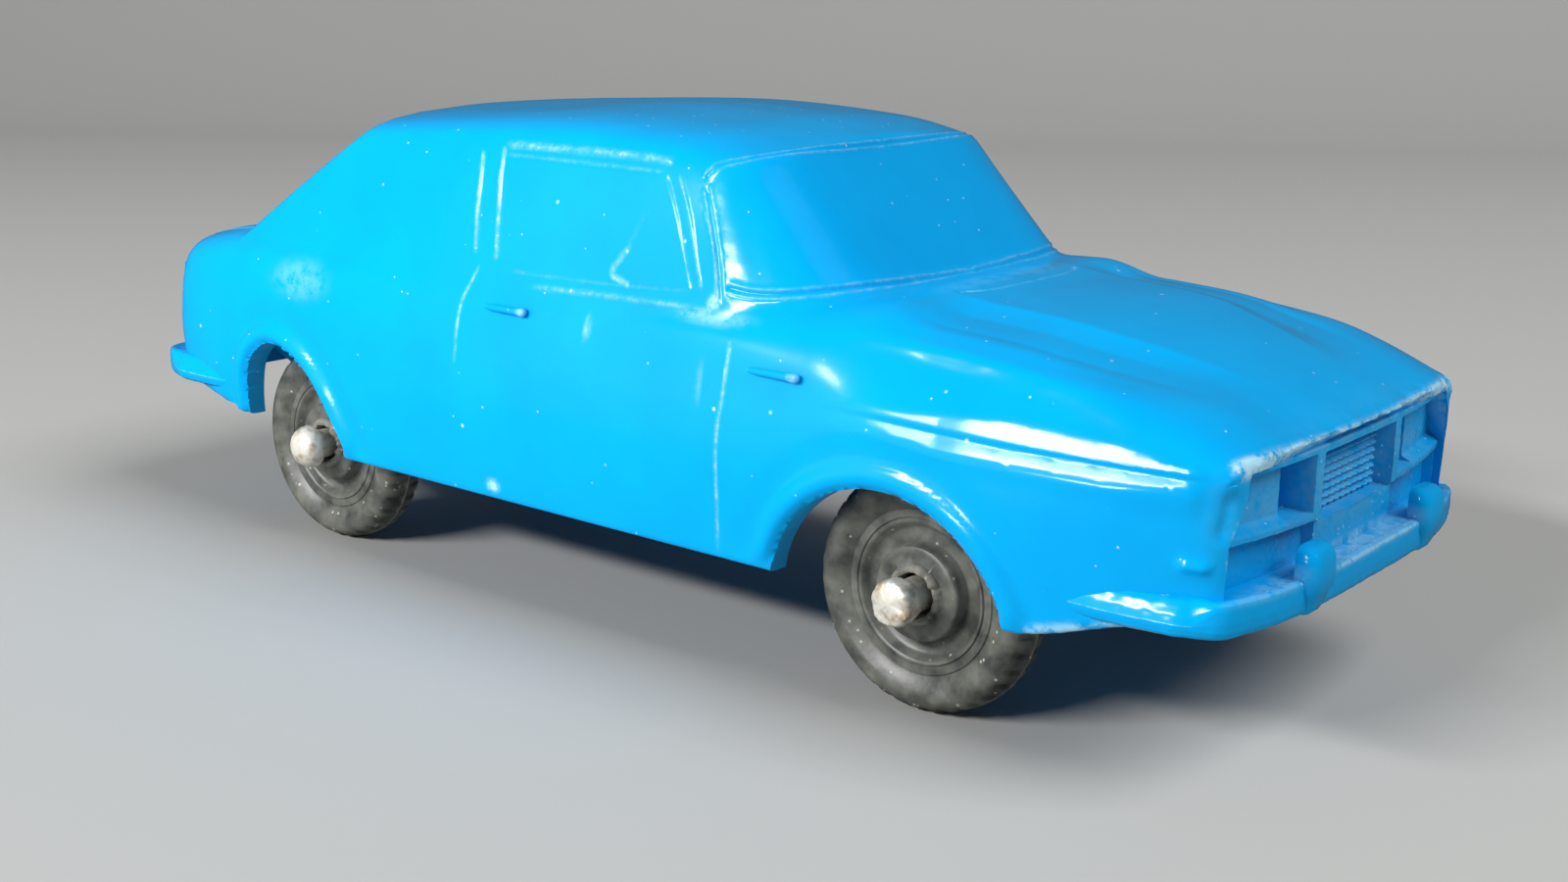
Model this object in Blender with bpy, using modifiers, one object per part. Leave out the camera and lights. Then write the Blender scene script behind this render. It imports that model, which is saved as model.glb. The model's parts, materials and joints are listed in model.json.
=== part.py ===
"""Small free-rolling model car, 1:43, with a one-piece moulded vinyl body.

The body is an open-bottomed shell: a lofted lower body and a lofted cabin, hollowed by the same
shapes drawn in by the wall thickness. Two pairs of webs inside it carry two steel axles with
upset heads, and each axle carries two one-piece wheels. The car stands on its wheels at z = 0,
its nose points along +X and its left side lies at +Y. Sizes are millimetres, built in metres.
"""

import math

import bmesh
import bpy

MM = 0.001

# Overall layout
WHEELBASE = 57.5
FRONT_OVERHANG = 21.9
REAR_OVERHANG = 20.1
FRONT_BUMPER_PROUD = 0.9
REAR_BUMPER_PROUD = 2.0
OVERRIDER_PROUD = 0.5
FRONT_REACH = FRONT_OVERHANG + FRONT_BUMPER_PROUD + OVERRIDER_PROUD
REAR_REACH = REAR_OVERHANG + REAR_BUMPER_PROUD
LENGTH = REAR_REACH + WHEELBASE + FRONT_REACH
TAIL_X = REAR_BUMPER_PROUD - LENGTH / 2
REAR_AXLE_X = TAIL_X + REAR_OVERHANG
FRONT_AXLE_X = REAR_AXLE_X + WHEELBASE
NOSE_X = FRONT_AXLE_X + FRONT_OVERHANG
BODY_HALF_WIDTH = 19.5
WALL = 1.8
NOSE_WALL = 3.0

# Lower body: heights above the floor
SILL_Z = 7.9
FEATURE_LINE_Z = 18.1
FEATURE_LINE_RISE = 1.3
BELT_Z = 24.8
COWL_Z = 25.6
HOOD_LIP_Z = 20.0
BOOT_EDGE_Z = 22.3
NOSE_LOWER_EDGE_Z = 10.2
TAIL_LOWER_EDGE_Z = 11.2
NOSE_BOW = 1.2
NOSE_BOW_REACH = 14.0
TAIL_BOW = 1.2
TAIL_BOW_REACH = 10.0
NOSE_TAPER_LENGTH = 8.0
NOSE_CORNER_IN = 2.8
TAIL_TAPER_LENGTH = 7.0
TAIL_CORNER_IN = 3.0
HOOD_FALL_LENGTH = 12.0
SILL_TUCK = 0.6
SHOULDER_ROLL = 2.4
DECK_CROWN = 0.15

# Cabin
ROOF_CREST_Z = 35.7
SHOULDER_WIDTH = 2.2
BELT_HALF_WIDTH = BODY_HALF_WIDTH - SHOULDER_WIDTH
CABIN_LEAN = 2.4
ROOF_HALF_WIDTH = BELT_HALF_WIDTH - CABIN_LEAN
ROOF_EDGE_DROP = 2.6
ROOF_EDGE_WIDTH = 4.6
CABIN_FOOT = 3.0
SCREEN_BASE_BEHIND_AXLE = 6.7
SCREEN_BASE_X = FRONT_AXLE_X - SCREEN_BASE_BEHIND_AXLE
SCREEN_RUN = 8.2
SCREEN_WRAP = 9.6
SCREEN_TOP_WRAP = 4.2
BACKLIGHT_BASE_BEHIND_AXLE = 10.4
BACKLIGHT_BASE_X = REAR_AXLE_X - BACKLIGHT_BASE_BEHIND_AXLE
BACKLIGHT_RUN = 12.9
BACKLIGHT_WRAP = 3.0

# Front panel, lamps and grille
PANEL_X = NOSE_X - NOSE_BOW - 0.05
PANEL_LOW_Z = 14.6
PANEL_FOOT = 1.6
PANEL_TOP_Z = 19.0
LAMP_WIDTH = 5.2
LAMP_RECESS = 0.7
SLOT_WIDTH = 3.0
SLOT_RECESS = 2.0
GRILLE_HALF_WIDTH = 5.2
GRILLE_RECESS = 1.2
GRILLE_RIBS = 6
DIVIDER_WIDTH = 1.3

# Bumpers and overriders
BUMPER_HEIGHT = 2.2
FRONT_BUMPER_Z = 11.0
REAR_BUMPER_Z = 12.0
BUMPER_RETURN = 9.0
OVERRIDER_Y = 8.6
OVERRIDER_WIDTH = 2.7
OVERRIDER_HEIGHT = 4.0

# Pull bars moulded on the doors and on the front wings
BAR_LENGTH = 4.9
BAR_DIAMETER = 0.9
WING_BAR_Z = 20.9
DOOR_BAR_Z = 22.0
WING_BAR_BEHIND_AXLE = 9.4
DOOR_BAR_BEHIND_AXLE = 33.6

# Wheel arches
ARCH_CLEARANCE = 1.3
ARCH_DROP = 1.7
ARCH_BEHIND_AXLE = 0.6
CUT_OVERRUN = 2.0

# Wheels
TYRE_RADIUS = 7.95
TYRE_WIDTH = 3.5
TYRE_INBOARD = 3.55
TYRE_OUTER_Y = BODY_HALF_WIDTH - TYRE_INBOARD
HUB_RADIUS = 3.1
HUB_PROUD = 0.2
HUB_LENGTH = 4.9
RIM_RADIUS = 5.05
RIM_RECESS = 0.8

# Axles
AXLE_RADIUS = 1.15
DOMED_HEAD_RADIUS = 1.7
PEENED_HEAD_RADIUS = 1.42
AXLE_HEAD_LENGTH = 1.6
AXLE_PLAY = 1.35
AXLE_HALF_LENGTH = TYRE_OUTER_Y + HUB_PROUD + AXLE_PLAY + AXLE_HEAD_LENGTH
WHEEL_BORE_CLEARANCE = 0.15
WEB_BORE_CLEARANCE = 0.2

# Webs that carry the axles inside the body
WEB_THICKNESS = 2.2
WEB_TO_HUB = 0.4
WEB_BELOW_AXLE = 2.6
WEB_HALF_LENGTH = 4.2

ROUND_STEPS = 40


def clear_scene():
    for item in list(bpy.data.objects):
        bpy.data.objects.remove(item, do_unlink=True)


def new_collection(name):
    collection = bpy.data.collections.new(name)
    bpy.context.scene.collection.children.link(collection)
    return collection


def make_material(name, rgb, roughness, metallic=0.0):
    material = bpy.data.materials.new(name)
    material.use_nodes = True
    shader = material.node_tree.nodes["Principled BSDF"]
    shader.inputs["Base Color"].default_value = (*rgb, 1.0)
    shader.inputs["Roughness"].default_value = roughness
    shader.inputs["Metallic"].default_value = metallic
    return material


def mesh_object(name, collection, vertices, faces):
    """An object from vertices in millimetres."""
    mesh = bpy.data.meshes.new(name)
    mesh.from_pydata([[c * MM for c in v] for v in vertices], [], faces)
    item = bpy.data.objects.new(name, mesh)
    collection.objects.link(item)
    return item


def as_tool(item):
    item.hide_render = True
    item.display_type = "WIRE"
    return item


def combine(item, tool, operation):
    modifier = item.modifiers.new(operation.title() + " " + tool.name, "BOOLEAN")
    modifier.operation = operation
    modifier.solver = "EXACT"
    modifier.object = tool


def smooth_curve(points, at):
    """Value at a place along a monotone cubic curve through (place, value) points."""
    points = sorted(points)
    if at <= points[0][0]:
        return points[0][1]
    if at >= points[-1][0]:
        return points[-1][1]
    slopes = [(b[1] - a[1]) / (b[0] - a[0]) for a, b in zip(points, points[1:])]
    tangents = [slopes[0]]
    for before, after in zip(slopes, slopes[1:]):
        same_way = before * after > 0
        tangents.append(2 * before * after / (before + after) if same_way else 0.0)
    tangents.append(slopes[-1])
    index = next(i for i, p in enumerate(points[1:]) if at <= p[0])
    (x0, y0), (x1, y1) = points[index], points[index + 1]
    step = x1 - x0
    t = (at - x0) / step
    return (
        y0 * (1 + 2 * t) * (1 - t) ** 2
        + y1 * t * t * (3 - 2 * t)
        + step * tangents[index] * t * (1 - t) ** 2
        - step * tangents[index + 1] * t * t * (1 - t)
    )


def half_width(x):
    """Half of the lower body's greatest width at a place along the car."""
    return smooth_curve(
        [
            (TAIL_X, BODY_HALF_WIDTH - TAIL_CORNER_IN),
            (TAIL_X + 0.36 * TAIL_TAPER_LENGTH, BODY_HALF_WIDTH - 0.63 * TAIL_CORNER_IN),
            (TAIL_X + TAIL_TAPER_LENGTH, BODY_HALF_WIDTH - 0.37 * TAIL_CORNER_IN),
            (REAR_AXLE_X - 0.93 * TAIL_TAPER_LENGTH, BODY_HALF_WIDTH - 0.17 * TAIL_CORNER_IN),
            (REAR_AXLE_X + 0.86 * TAIL_TAPER_LENGTH, BODY_HALF_WIDTH),
            (FRONT_AXLE_X + 0.5 * NOSE_TAPER_LENGTH, BODY_HALF_WIDTH),
            (NOSE_X - NOSE_TAPER_LENGTH, BODY_HALF_WIDTH - 0.29 * NOSE_CORNER_IN),
            (NOSE_X - 0.375 * NOSE_TAPER_LENGTH, BODY_HALF_WIDTH - 0.68 * NOSE_CORNER_IN),
            (NOSE_X, BODY_HALF_WIDTH - NOSE_CORNER_IN),
        ],
        x,
    )


def deck_height(x):
    """Height of boot, waist and hood along the middle of the lower body."""
    boot_fall = BELT_Z - BOOT_EDGE_Z
    hood_fall = COWL_Z - HOOD_LIP_Z
    return smooth_curve(
        [
            (TAIL_X, BOOT_EDGE_Z),
            (TAIL_X + 0.36 * TAIL_TAPER_LENGTH, BOOT_EDGE_Z + 0.36 * boot_fall),
            (BACKLIGHT_BASE_X, BOOT_EDGE_Z + 0.8 * boot_fall),
            (REAR_AXLE_X, BELT_Z),
            (SCREEN_BASE_X - SCREEN_WRAP, BELT_Z + 0.25 * (COWL_Z - BELT_Z)),
            (SCREEN_BASE_X + 0.43 * SCREEN_RUN, COWL_Z),
            (FRONT_AXLE_X + 0.42 * HOOD_FALL_LENGTH, COWL_Z - 0.07 * hood_fall),
            (NOSE_X - HOOD_FALL_LENGTH, COWL_Z - 0.21 * hood_fall),
            (NOSE_X - 0.42 * HOOD_FALL_LENGTH, COWL_Z - 0.62 * hood_fall),
            (NOSE_X, HOOD_LIP_Z),
        ],
        x,
    )


def lower_edge(x):
    return smooth_curve(
        [
            (TAIL_X, TAIL_LOWER_EDGE_Z),
            (REAR_AXLE_X - TAIL_TAPER_LENGTH, SILL_Z + 0.42 * (TAIL_LOWER_EDGE_Z - SILL_Z)),
            (REAR_AXLE_X + 0.7 * TAIL_TAPER_LENGTH, SILL_Z),
            (FRONT_AXLE_X + TYRE_RADIUS, SILL_Z),
            (NOSE_X - 0.42 * HOOD_FALL_LENGTH, NOSE_LOWER_EDGE_Z - 0.17 * (NOSE_LOWER_EDGE_Z - SILL_Z)),
            (NOSE_X, NOSE_LOWER_EDGE_Z),
        ],
        x,
    )


def feature_line(x):
    """Height of the crease along the body's side, which climbs to the corner of the hood lip."""
    low = FEATURE_LINE_Z
    return smooth_curve([(SCREEN_BASE_X - SCREEN_WRAP, low), (NOSE_X, low + FEATURE_LINE_RISE)], x)


def lower_body_profile(x, inset):
    """Half section of the lower body as (y, z) points, sill to centre."""
    side = half_width(x) - inset
    top = deck_height(x) - inset
    feature = min(feature_line(x), top - 0.2 * SHOULDER_ROLL)
    bottom = lower_edge(x) if inset == 0 else lower_edge(x) - 2 * WALL
    flank = feature - bottom
    rise = top - feature
    return [
        (side - SILL_TUCK, bottom),
        (side - 0.25 * SILL_TUCK, bottom + 0.35 * flank),
        (side, bottom + 0.65 * flank),
        (side - 0.33 * SILL_TUCK, feature),
        (side - 0.25 * SHOULDER_ROLL, feature + 0.42 * rise),
        (side - 0.55 * SHOULDER_ROLL, feature + 0.72 * rise),
        (side - SHOULDER_ROLL, feature + 0.87 * rise),
        (side - 2.1 * SHOULDER_ROLL, feature + 0.96 * rise),
        (side * 0.46, top - DECK_CROWN),
        (side * 0.2, top - 0.1 * DECK_CROWN),
    ]


def bow(x, share):
    """How far a point is drawn back from the nose or the tail, for its share of the width."""
    nose = max(0.0, 1.0 - (NOSE_X - x) / NOSE_BOW_REACH)
    tail = max(0.0, 1.0 - (x - TAIL_X) / TAIL_BOW_REACH)
    return (TAIL_BOW * tail - NOSE_BOW * nose) * share**3


def loft(name, collection, sections):
    """Closed body through half sections of (x, y, z) points, mirrored over the middle plane."""
    rings = [[(x, -y, z) for x, y, z in s] + [(x, y, z) for x, y, z in reversed(s)] for s in sections]
    count = len(rings[0])
    vertices = [v for ring in rings for v in ring]
    faces = []
    for i in range(len(rings) - 1):
        a, b = i * count, (i + 1) * count
        for j in range(count):
            k = (j + 1) % count
            faces.append((a + j, b + j, b + k, a + k))
    last = (len(rings) - 1) * count
    for j in range(count // 2 - 1):
        k = count - 1 - j
        faces.append((j, j + 1, k - 1, k))
        faces.append((last + j, last + k, last + k - 1, last + j + 1))
    item = mesh_object(name, collection, vertices, faces)
    item.data.shade_smooth()
    item.data.set_sharp_from_angle(angle=math.radians(40))
    return item


def spaced(start, end, step):
    count = max(1, round((end - start) / step))
    return [start + (end - start) * i / count for i in range(count + 1)]


def lower_body(name, collection, inset):
    start = TAIL_X + inset
    end = NOSE_X - (NOSE_WALL if inset else 0.0)
    places = [start, start + 0.9] + spaced(start + 2.4, end - 6.0, 4.4) + [end - 3.6, end - 1.6, end]
    sections = []
    for x in places:
        profile = lower_body_profile(x, inset)
        widest = max(y for y, z in profile)
        sections.append([(x + bow(x, y / widest), y, z) for y, z in profile])
    return loft(name, collection, sections)


def roof_height(x):
    return smooth_curve(
        [
            (BACKLIGHT_BASE_X, ROOF_CREST_Z - 3.4),
            (BACKLIGHT_BASE_X + BACKLIGHT_RUN, ROOF_CREST_Z - 1.5),
            (BACKLIGHT_BASE_X + 2 * BACKLIGHT_RUN, ROOF_CREST_Z - 0.5),
            (SCREEN_BASE_X - 3 * SCREEN_RUN, ROOF_CREST_Z),
            (SCREEN_BASE_X - 1.8 * SCREEN_RUN, ROOF_CREST_Z - 0.4),
            (SCREEN_BASE_X - SCREEN_RUN, ROOF_CREST_Z - 1.6),
            (SCREEN_BASE_X, ROOF_CREST_Z - 3.6),
        ],
        x,
    )


def cabin_profile(x, inset):
    """Half section of the cabin before its front and rear glass are cut, as (y, z) points."""
    full = BACKLIGHT_BASE_X + 2 * BACKLIGHT_RUN
    narrowing = smooth_curve([(BACKLIGHT_BASE_X, 0.9), (REAR_AXLE_X, 0.96), (full, 1.0)], x)
    narrowing -= 0.016 * max(0.0, (x - SCREEN_BASE_X) / SCREEN_RUN + 2)
    roof = ROOF_HALF_WIDTH * narrowing - inset
    belt = BELT_HALF_WIDTH * narrowing - inset
    top = roof_height(x) - inset
    foot = BELT_Z - CABIN_FOOT
    drop, edge = ROOF_EDGE_DROP, ROOF_EDGE_WIDTH
    lean = (belt - roof) / (ROOF_CREST_Z - 1.27 * drop - BELT_Z)
    return [
        (belt + CABIN_FOOT * lean, foot),
        (belt, BELT_Z),
        ((belt + roof) / 2 + 0.1 * drop, (BELT_Z + top - drop) / 2),
        (roof, top - drop),
        (roof - 0.12 * edge, top - 0.65 * drop),
        (roof - 0.39 * edge, top - 0.4 * drop),
        (roof - edge, top - 0.19 * drop),
        (roof * 0.35, top - 0.05 * drop),
        (roof * 0.12, top),
    ]


def glass_outline(z, inset):
    """Plan outline of the cabin between windscreen and rear window at a height, right half."""
    climb = (z - BELT_Z) / (ROOF_CREST_Z - 0.77 * ROOF_EDGE_DROP - BELT_Z)
    front = SCREEN_BASE_X - SCREEN_RUN * climb - inset * 1.2
    wrap = SCREEN_WRAP + (SCREEN_TOP_WRAP - SCREEN_WRAP) * climb
    rear = BACKLIGHT_BASE_X + BACKLIGHT_RUN * climb + inset * 1.3
    outer = BELT_HALF_WIDTH + (ROOF_HALF_WIDTH - BELT_HALF_WIDTH) * climb - inset
    points = []
    for share in (0.0, 0.4, 0.66, 0.8, 0.9, 0.97, 1.04):
        points.append((front - wrap * share**6.5, outer * share))
    for share in (1.04, 0.9, 0.7, 0.4, 0.0):
        points.append((rear + BACKLIGHT_WRAP * share**3, outer * share))
    return points


def glass_block(name, collection, inset):
    """Sheared block that is bounded by the windscreen in front and the rear window behind."""
    foot, head = BELT_Z - CABIN_FOOT - CUT_OVERRUN / 2, ROOF_CREST_Z + CUT_OVERRUN
    levels = []
    for z in (foot, head):
        right = [(x, -y, z) for x, y in glass_outline(z, inset)]
        left = [(x, -y, z) for x, y, z in reversed(right[1:-1])]
        levels.append(right + left)
    count = len(levels[0])
    faces = [(j, (j + 1) % count, count + (j + 1) % count, count + j) for j in range(count)]
    faces.append(tuple(range(count))[::-1])
    faces.append(tuple(range(count, 2 * count)))
    block = mesh_object(name, collection, levels[0] + levels[1], faces)
    make_outward(block)
    return block


def make_outward(item):
    shape = bmesh.new()
    shape.from_mesh(item.data)
    bmesh.ops.recalc_face_normals(shape, faces=shape.faces)
    shape.to_mesh(item.data)
    shape.free()


def cabin(name, collection, inset):
    places = spaced(BACKLIGHT_BASE_X - CUT_OVERRUN, SCREEN_BASE_X + CUT_OVERRUN, 4.8)
    sections = [[(x, y, z) for y, z in cabin_profile(x, inset)] for x in places]
    item = loft(name, collection, sections)
    glass = as_tool(glass_block(name + " glass", collection, inset))
    combine(item, glass, "INTERSECT")
    return item


def box(name, collection, low, high):
    shape = bmesh.new()
    bmesh.ops.create_cube(shape, size=1.0)
    for vertex in shape.verts:
        for axis in range(3):
            middle = (low[axis] + high[axis]) / 2
            vertex.co[axis] = (middle + vertex.co[axis] * (high[axis] - low[axis])) * MM
    mesh = bpy.data.meshes.new(name)
    shape.to_mesh(mesh)
    shape.free()
    item = bpy.data.objects.new(name, mesh)
    collection.objects.link(item)
    return item


def prism(name, collection, outline, axis, low, high):
    """Outline of two coordinates extruded along the third, X, Y or Z."""
    def place(u, v, w):
        return {"X": (w, u, v), "Y": (u, w, v), "Z": (u, v, w)}[axis]

    count = len(outline)
    vertices = [place(u, v, w) for w in (low, high) for u, v in outline]
    faces = [(j, (j + 1) % count, count + (j + 1) % count, count + j) for j in range(count)]
    faces.append(tuple(range(count)))
    faces.append(tuple(range(count, 2 * count)))
    item = mesh_object(name, collection, vertices, faces)
    make_outward(item)
    return item


def cylinder(name, collection, centre, radius, length, axis="Y", steps=ROUND_STEPS):
    shape = bmesh.new()
    bmesh.ops.create_cone(
        shape, cap_ends=True, segments=steps, radius1=radius * MM, radius2=radius * MM,
        depth=length * MM,
    )
    mesh = bpy.data.meshes.new(name)
    shape.to_mesh(mesh)
    shape.free()
    item = bpy.data.objects.new(name, mesh)
    item.location = [c * MM for c in centre]
    turn = math.pi / 2
    item.rotation_euler = {"X": (0, turn, 0), "Y": (turn, 0, 0), "Z": (0, 0, 0)}[axis]
    collection.objects.link(item)
    item.data.shade_smooth()
    item.data.set_sharp_from_angle(angle=math.radians(40))
    return item


def closed_curve(points, steps):
    """Points on a smooth closed curve through the given ones."""
    result = []
    count = len(points)
    for i in range(count):
        a, b, c, d = (points[(i + k - 1) % count] for k in range(4))
        for s in range(steps):
            t = s / steps
            result.append(tuple(
                0.5 * (2 * q + (r - p) * t + (2 * p - 5 * q + 4 * r - w) * t * t
                       + (3 * q - p - 3 * r + w) * t**3)
                for p, q, r, w in zip(a, b, c, d)
            ))
    return result


def front_arch_outline():
    """Round opening, a little lower than the wheel that turns in it."""
    centre_z = TYRE_RADIUS - ARCH_DROP
    radius = TYRE_RADIUS + ARCH_CLEARANCE
    turns = [2 * math.pi * i / 36 for i in range(36)]
    middle = FRONT_AXLE_X - ARCH_BEHIND_AXLE
    return [(middle + radius * math.cos(a), centre_z + radius * math.sin(a)) for a in turns]


def rear_arch_outline():
    """Leaning opening: a long slanted front edge, a round top and an upright rear edge."""
    corners = [
        (0.55, -0.5), (0.68, -0.04), (0.49, 0.4), (0.23, 0.74), (-0.13, 0.955),
        (-0.5, 0.995), (-0.805, 0.78), (-0.92, 0.43), (-0.94, 0.025), (-0.88, -0.5),
    ]
    r = TYRE_RADIUS
    return closed_curve([(REAR_AXLE_X + u * r, r + v * r) for u, v in corners], 4)


def bumper_outline(end_x, facing, proud):
    """Plan outline of a bumper, facing +1 for the front one and -1 for the rear one."""
    half = half_width(end_x) + 1.1
    front = end_x + facing * proud
    points = []
    for share in (-1.0, -0.9, -0.72, -0.45, 0.0, 0.45, 0.72, 0.9, 1.0):
        points.append((front - facing * 3.0 * abs(share) ** 4, half * share))
    back = end_x - facing * BUMPER_RETURN
    side = half_width(back) + 0.25
    middle = (back + end_x) / 2
    points += [(middle, half_width(middle) + 0.5), (back, side)]
    points += [(back, side - 0.8), (middle, half_width(middle) - 1.0), (end_x - facing * 1.4, half - 2.4)]
    points += [(end_x - facing * 1.4, 2.4 - half), (middle, 1.0 - half_width(middle)), (back, 0.8 - side)]
    points += [(back, -side), (middle, -half_width(middle) - 0.5)]
    return points


def add_bumper(body, tools, label, end_x, facing, proud, level):
    outline = bumper_outline(end_x, facing, proud)
    low, high = level - BUMPER_HEIGHT / 2, level + BUMPER_HEIGHT / 2
    combine(body, as_tool(prism(label + " bumper", tools, outline, "Z", low, high)), "UNION")


def add_overriders(body, tools):
    front = NOSE_X + FRONT_BUMPER_PROUD + OVERRIDER_PROUD
    low = FRONT_BUMPER_Z - OVERRIDER_HEIGHT * 0.22
    for side in (-1, 1):
        inner, outer = OVERRIDER_Y - OVERRIDER_WIDTH / 2, OVERRIDER_Y + OVERRIDER_WIDTH / 2
        edges = sorted((side * inner, side * outer))
        tool = box(
            "overrider %+d" % side, tools,
            (PANEL_X - 0.5, edges[0], low), (front, edges[1], low + OVERRIDER_HEIGHT),
        )
        combine(body, as_tool(tool), "UNION")


def cut_front_panel(body, tools):
    """Lamp recesses, air slots and a ribbed grille under the hood lip."""
    deep = NOSE_X + CUT_OVERRUN
    divider_outer = GRILLE_HALF_WIDTH + DIVIDER_WIDTH
    slot_outer = divider_outer + SLOT_WIDTH
    lamp_outer = slot_outer + LAMP_WIDTH
    combine(body, as_tool(box(
        "panel face", tools, (PANEL_X, -BODY_HALF_WIDTH, PANEL_LOW_Z - PANEL_FOOT),
        (deep, BODY_HALF_WIDTH, PANEL_TOP_Z),
    )), "DIFFERENCE")
    for side in (-1, 1):
        recesses = (
            ("lamp", slot_outer - 0.3, lamp_outer, LAMP_RECESS, PANEL_LOW_Z + 0.4),
            ("slot", divider_outer, slot_outer, SLOT_RECESS, PANEL_LOW_Z + 0.9),
        )
        for label, near, far, depth, low in recesses:
            edges = sorted((side * near, side * far))
            combine(body, as_tool(box(
                "%s recess %+d" % (label, side), tools, (PANEL_X - depth, edges[0], low),
                (deep, edges[1], PANEL_TOP_Z - 0.1),
            )), "DIFFERENCE")
    pitch = (PANEL_TOP_Z - PANEL_LOW_Z) / GRILLE_RIBS
    for i in range(GRILLE_RIBS):
        low = PANEL_LOW_Z + (i + 0.25) * pitch
        combine(body, as_tool(box(
            "grille slot %d" % i, tools, (PANEL_X - GRILLE_RECESS, -GRILLE_HALF_WIDTH, low),
            (deep, GRILLE_HALF_WIDTH, low + pitch / 2),
        )), "DIFFERENCE")


def add_pull_bars(body, tools):
    """Two short round bars on each side, one on the door and one on the front wing."""
    for back, height in ((DOOR_BAR_BEHIND_AXLE, DOOR_BAR_Z), (WING_BAR_BEHIND_AXLE, WING_BAR_Z)):
        for side in (-1, 1):
            middle = (FRONT_AXLE_X - back, side * (BODY_HALF_WIDTH - 0.85), height)
            bar = cylinder("pull bar", tools, middle, BAR_DIAMETER / 2, BAR_LENGTH, "X", 10)
            combine(body, as_tool(bar), "UNION")


def web_outline(axle_x, facing):
    """Side outline of a web: a foot round the axle and a gusset up to the deck's underside."""
    low = TYRE_RADIUS - WEB_BELOW_AXLE
    end = NOSE_X - NOSE_BOW - NOSE_WALL / 2 if facing > 0 else TAIL_X + TAIL_BOW + WALL / 2
    deck = deck_height(axle_x + facing * 8.0) - WALL / 2
    return [
        (axle_x - facing * WEB_HALF_LENGTH, low),
        (axle_x + facing * WEB_HALF_LENGTH, low),
        (axle_x + facing * (WEB_HALF_LENGTH + 1.5), low + 4.5),
        (end, TAIL_LOWER_EDGE_Z + 3.5),
        (end, BOOT_EDGE_Z - WALL - 2.2),
        (axle_x + facing * 8.0, deck),
        (axle_x + facing * 3.0, deck),
        (axle_x - facing * WEB_HALF_LENGTH, low + 6.5),
    ]


def add_webs(body, tools):
    """Webs with a round hole for the axle, joined to the deck and to the end wall."""
    outer = TYRE_OUTER_Y + HUB_PROUD - HUB_LENGTH - WEB_TO_HUB
    for label, axle_x, facing in (("front", FRONT_AXLE_X, 1), ("rear", REAR_AXLE_X, -1)):
        for side in (-1, 1):
            edges = sorted((side * outer, side * (outer - WEB_THICKNESS)))
            web = prism("%s web %+d" % (label, side), tools, web_outline(axle_x, facing), "Y", *edges)
            combine(body, as_tool(web), "UNION")
        hole = cylinder(
            label + " axle hole", tools, (axle_x, 0, TYRE_RADIUS),
            AXLE_RADIUS + WEB_BORE_CLEARANCE, 2 * (outer + CUT_OVERRUN),
        )
        combine(body, as_tool(hole), "DIFFERENCE")


def build_body(parts, tools, vinyl):
    body = lower_body("body_shell", parts, 0.0)
    combine(body, as_tool(cabin("cabin", tools, 0.0)), "UNION")
    cut_front_panel(body, tools)
    add_bumper(body, tools, "front", NOSE_X, 1, FRONT_BUMPER_PROUD, FRONT_BUMPER_Z)
    add_bumper(body, tools, "rear", TAIL_X, -1, REAR_BUMPER_PROUD, REAR_BUMPER_Z)
    add_overriders(body, tools)
    add_pull_bars(body, tools)
    hollow = as_tool(lower_body("hollow", tools, WALL))
    combine(body, hollow, "DIFFERENCE")
    combine(body, as_tool(cabin("cabin hollow", tools, WALL)), "DIFFERENCE")
    reach = BODY_HALF_WIDTH + CUT_OVERRUN
    for label, outline in (("front", front_arch_outline()), ("rear", rear_arch_outline())):
        arch = prism(label + " arch", tools, outline, "Y", -reach, reach)
        combine(body, as_tool(arch), "DIFFERENCE")
    add_webs(body, tools)
    body.data.materials.append(vinyl)
    return body


def turned(name, collection, profile, centre):
    """Turned solid about Y from (radius, y) points that run down its outer side."""
    mesh = bpy.data.meshes.new(name)
    vertices = [(r * MM, 0.0, h * MM) for r, h in profile]
    mesh.from_pydata(vertices, [(i, i + 1) for i in range(len(profile) - 1)], [])
    item = bpy.data.objects.new(name, mesh)
    collection.objects.link(item)
    screw = item.modifiers.new("Turn", "SCREW")
    screw.axis = "Z"
    screw.steps = ROUND_STEPS
    screw.render_steps = ROUND_STEPS
    screw.use_merge_vertices = True
    screw.merge_threshold = 0.00001
    screw.use_smooth_shade = True
    item.location = [c * MM for c in centre]
    item.rotation_euler = (math.pi / 2, 0, 0)
    return item


def wheel_profile():
    """Closed profile of a wheel as (radius, outward distance from its outer sidewall)."""
    bore = AXLE_RADIUS + WHEEL_BORE_CLEARANCE
    half = TYRE_WIDTH / 2
    radius = TYRE_RADIUS
    hub_back = HUB_PROUD - HUB_LENGTH
    return [
        (bore, HUB_PROUD),
        (HUB_RADIUS, HUB_PROUD),
        (HUB_RADIUS + 0.1, -RIM_RECESS),
        (RIM_RADIUS - 0.9, -RIM_RECESS),
        (RIM_RADIUS - 0.4, -0.1),
        (RIM_RADIUS, -0.25),
        (RIM_RADIUS + 0.5, 0.0),
        (radius - 1.1, -0.03),
        (radius - 0.35, -0.3),
        (radius - 0.1, -0.7),
        (radius, -half),
        (radius - 0.3, 0.5 - TYRE_WIDTH),
        (radius - 1.2, -TYRE_WIDTH),
        (RIM_RADIUS, -TYRE_WIDTH),
        (HUB_RADIUS, 0.8 - TYRE_WIDTH),
        (HUB_RADIUS - 0.4, hub_back),
        (bore, hub_back),
        (bore, HUB_PROUD),
    ]


def build_wheel(name, parts, rubber, axle, axle_x, side):
    wheel = turned(name, parts, wheel_profile(), (axle_x, side * TYRE_OUTER_Y, TYRE_RADIUS))
    wheel.rotation_euler = (-side * math.pi / 2, 0, 0)
    wheel.data.materials.append(rubber)
    parent_to(wheel, axle)
    return wheel


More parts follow.
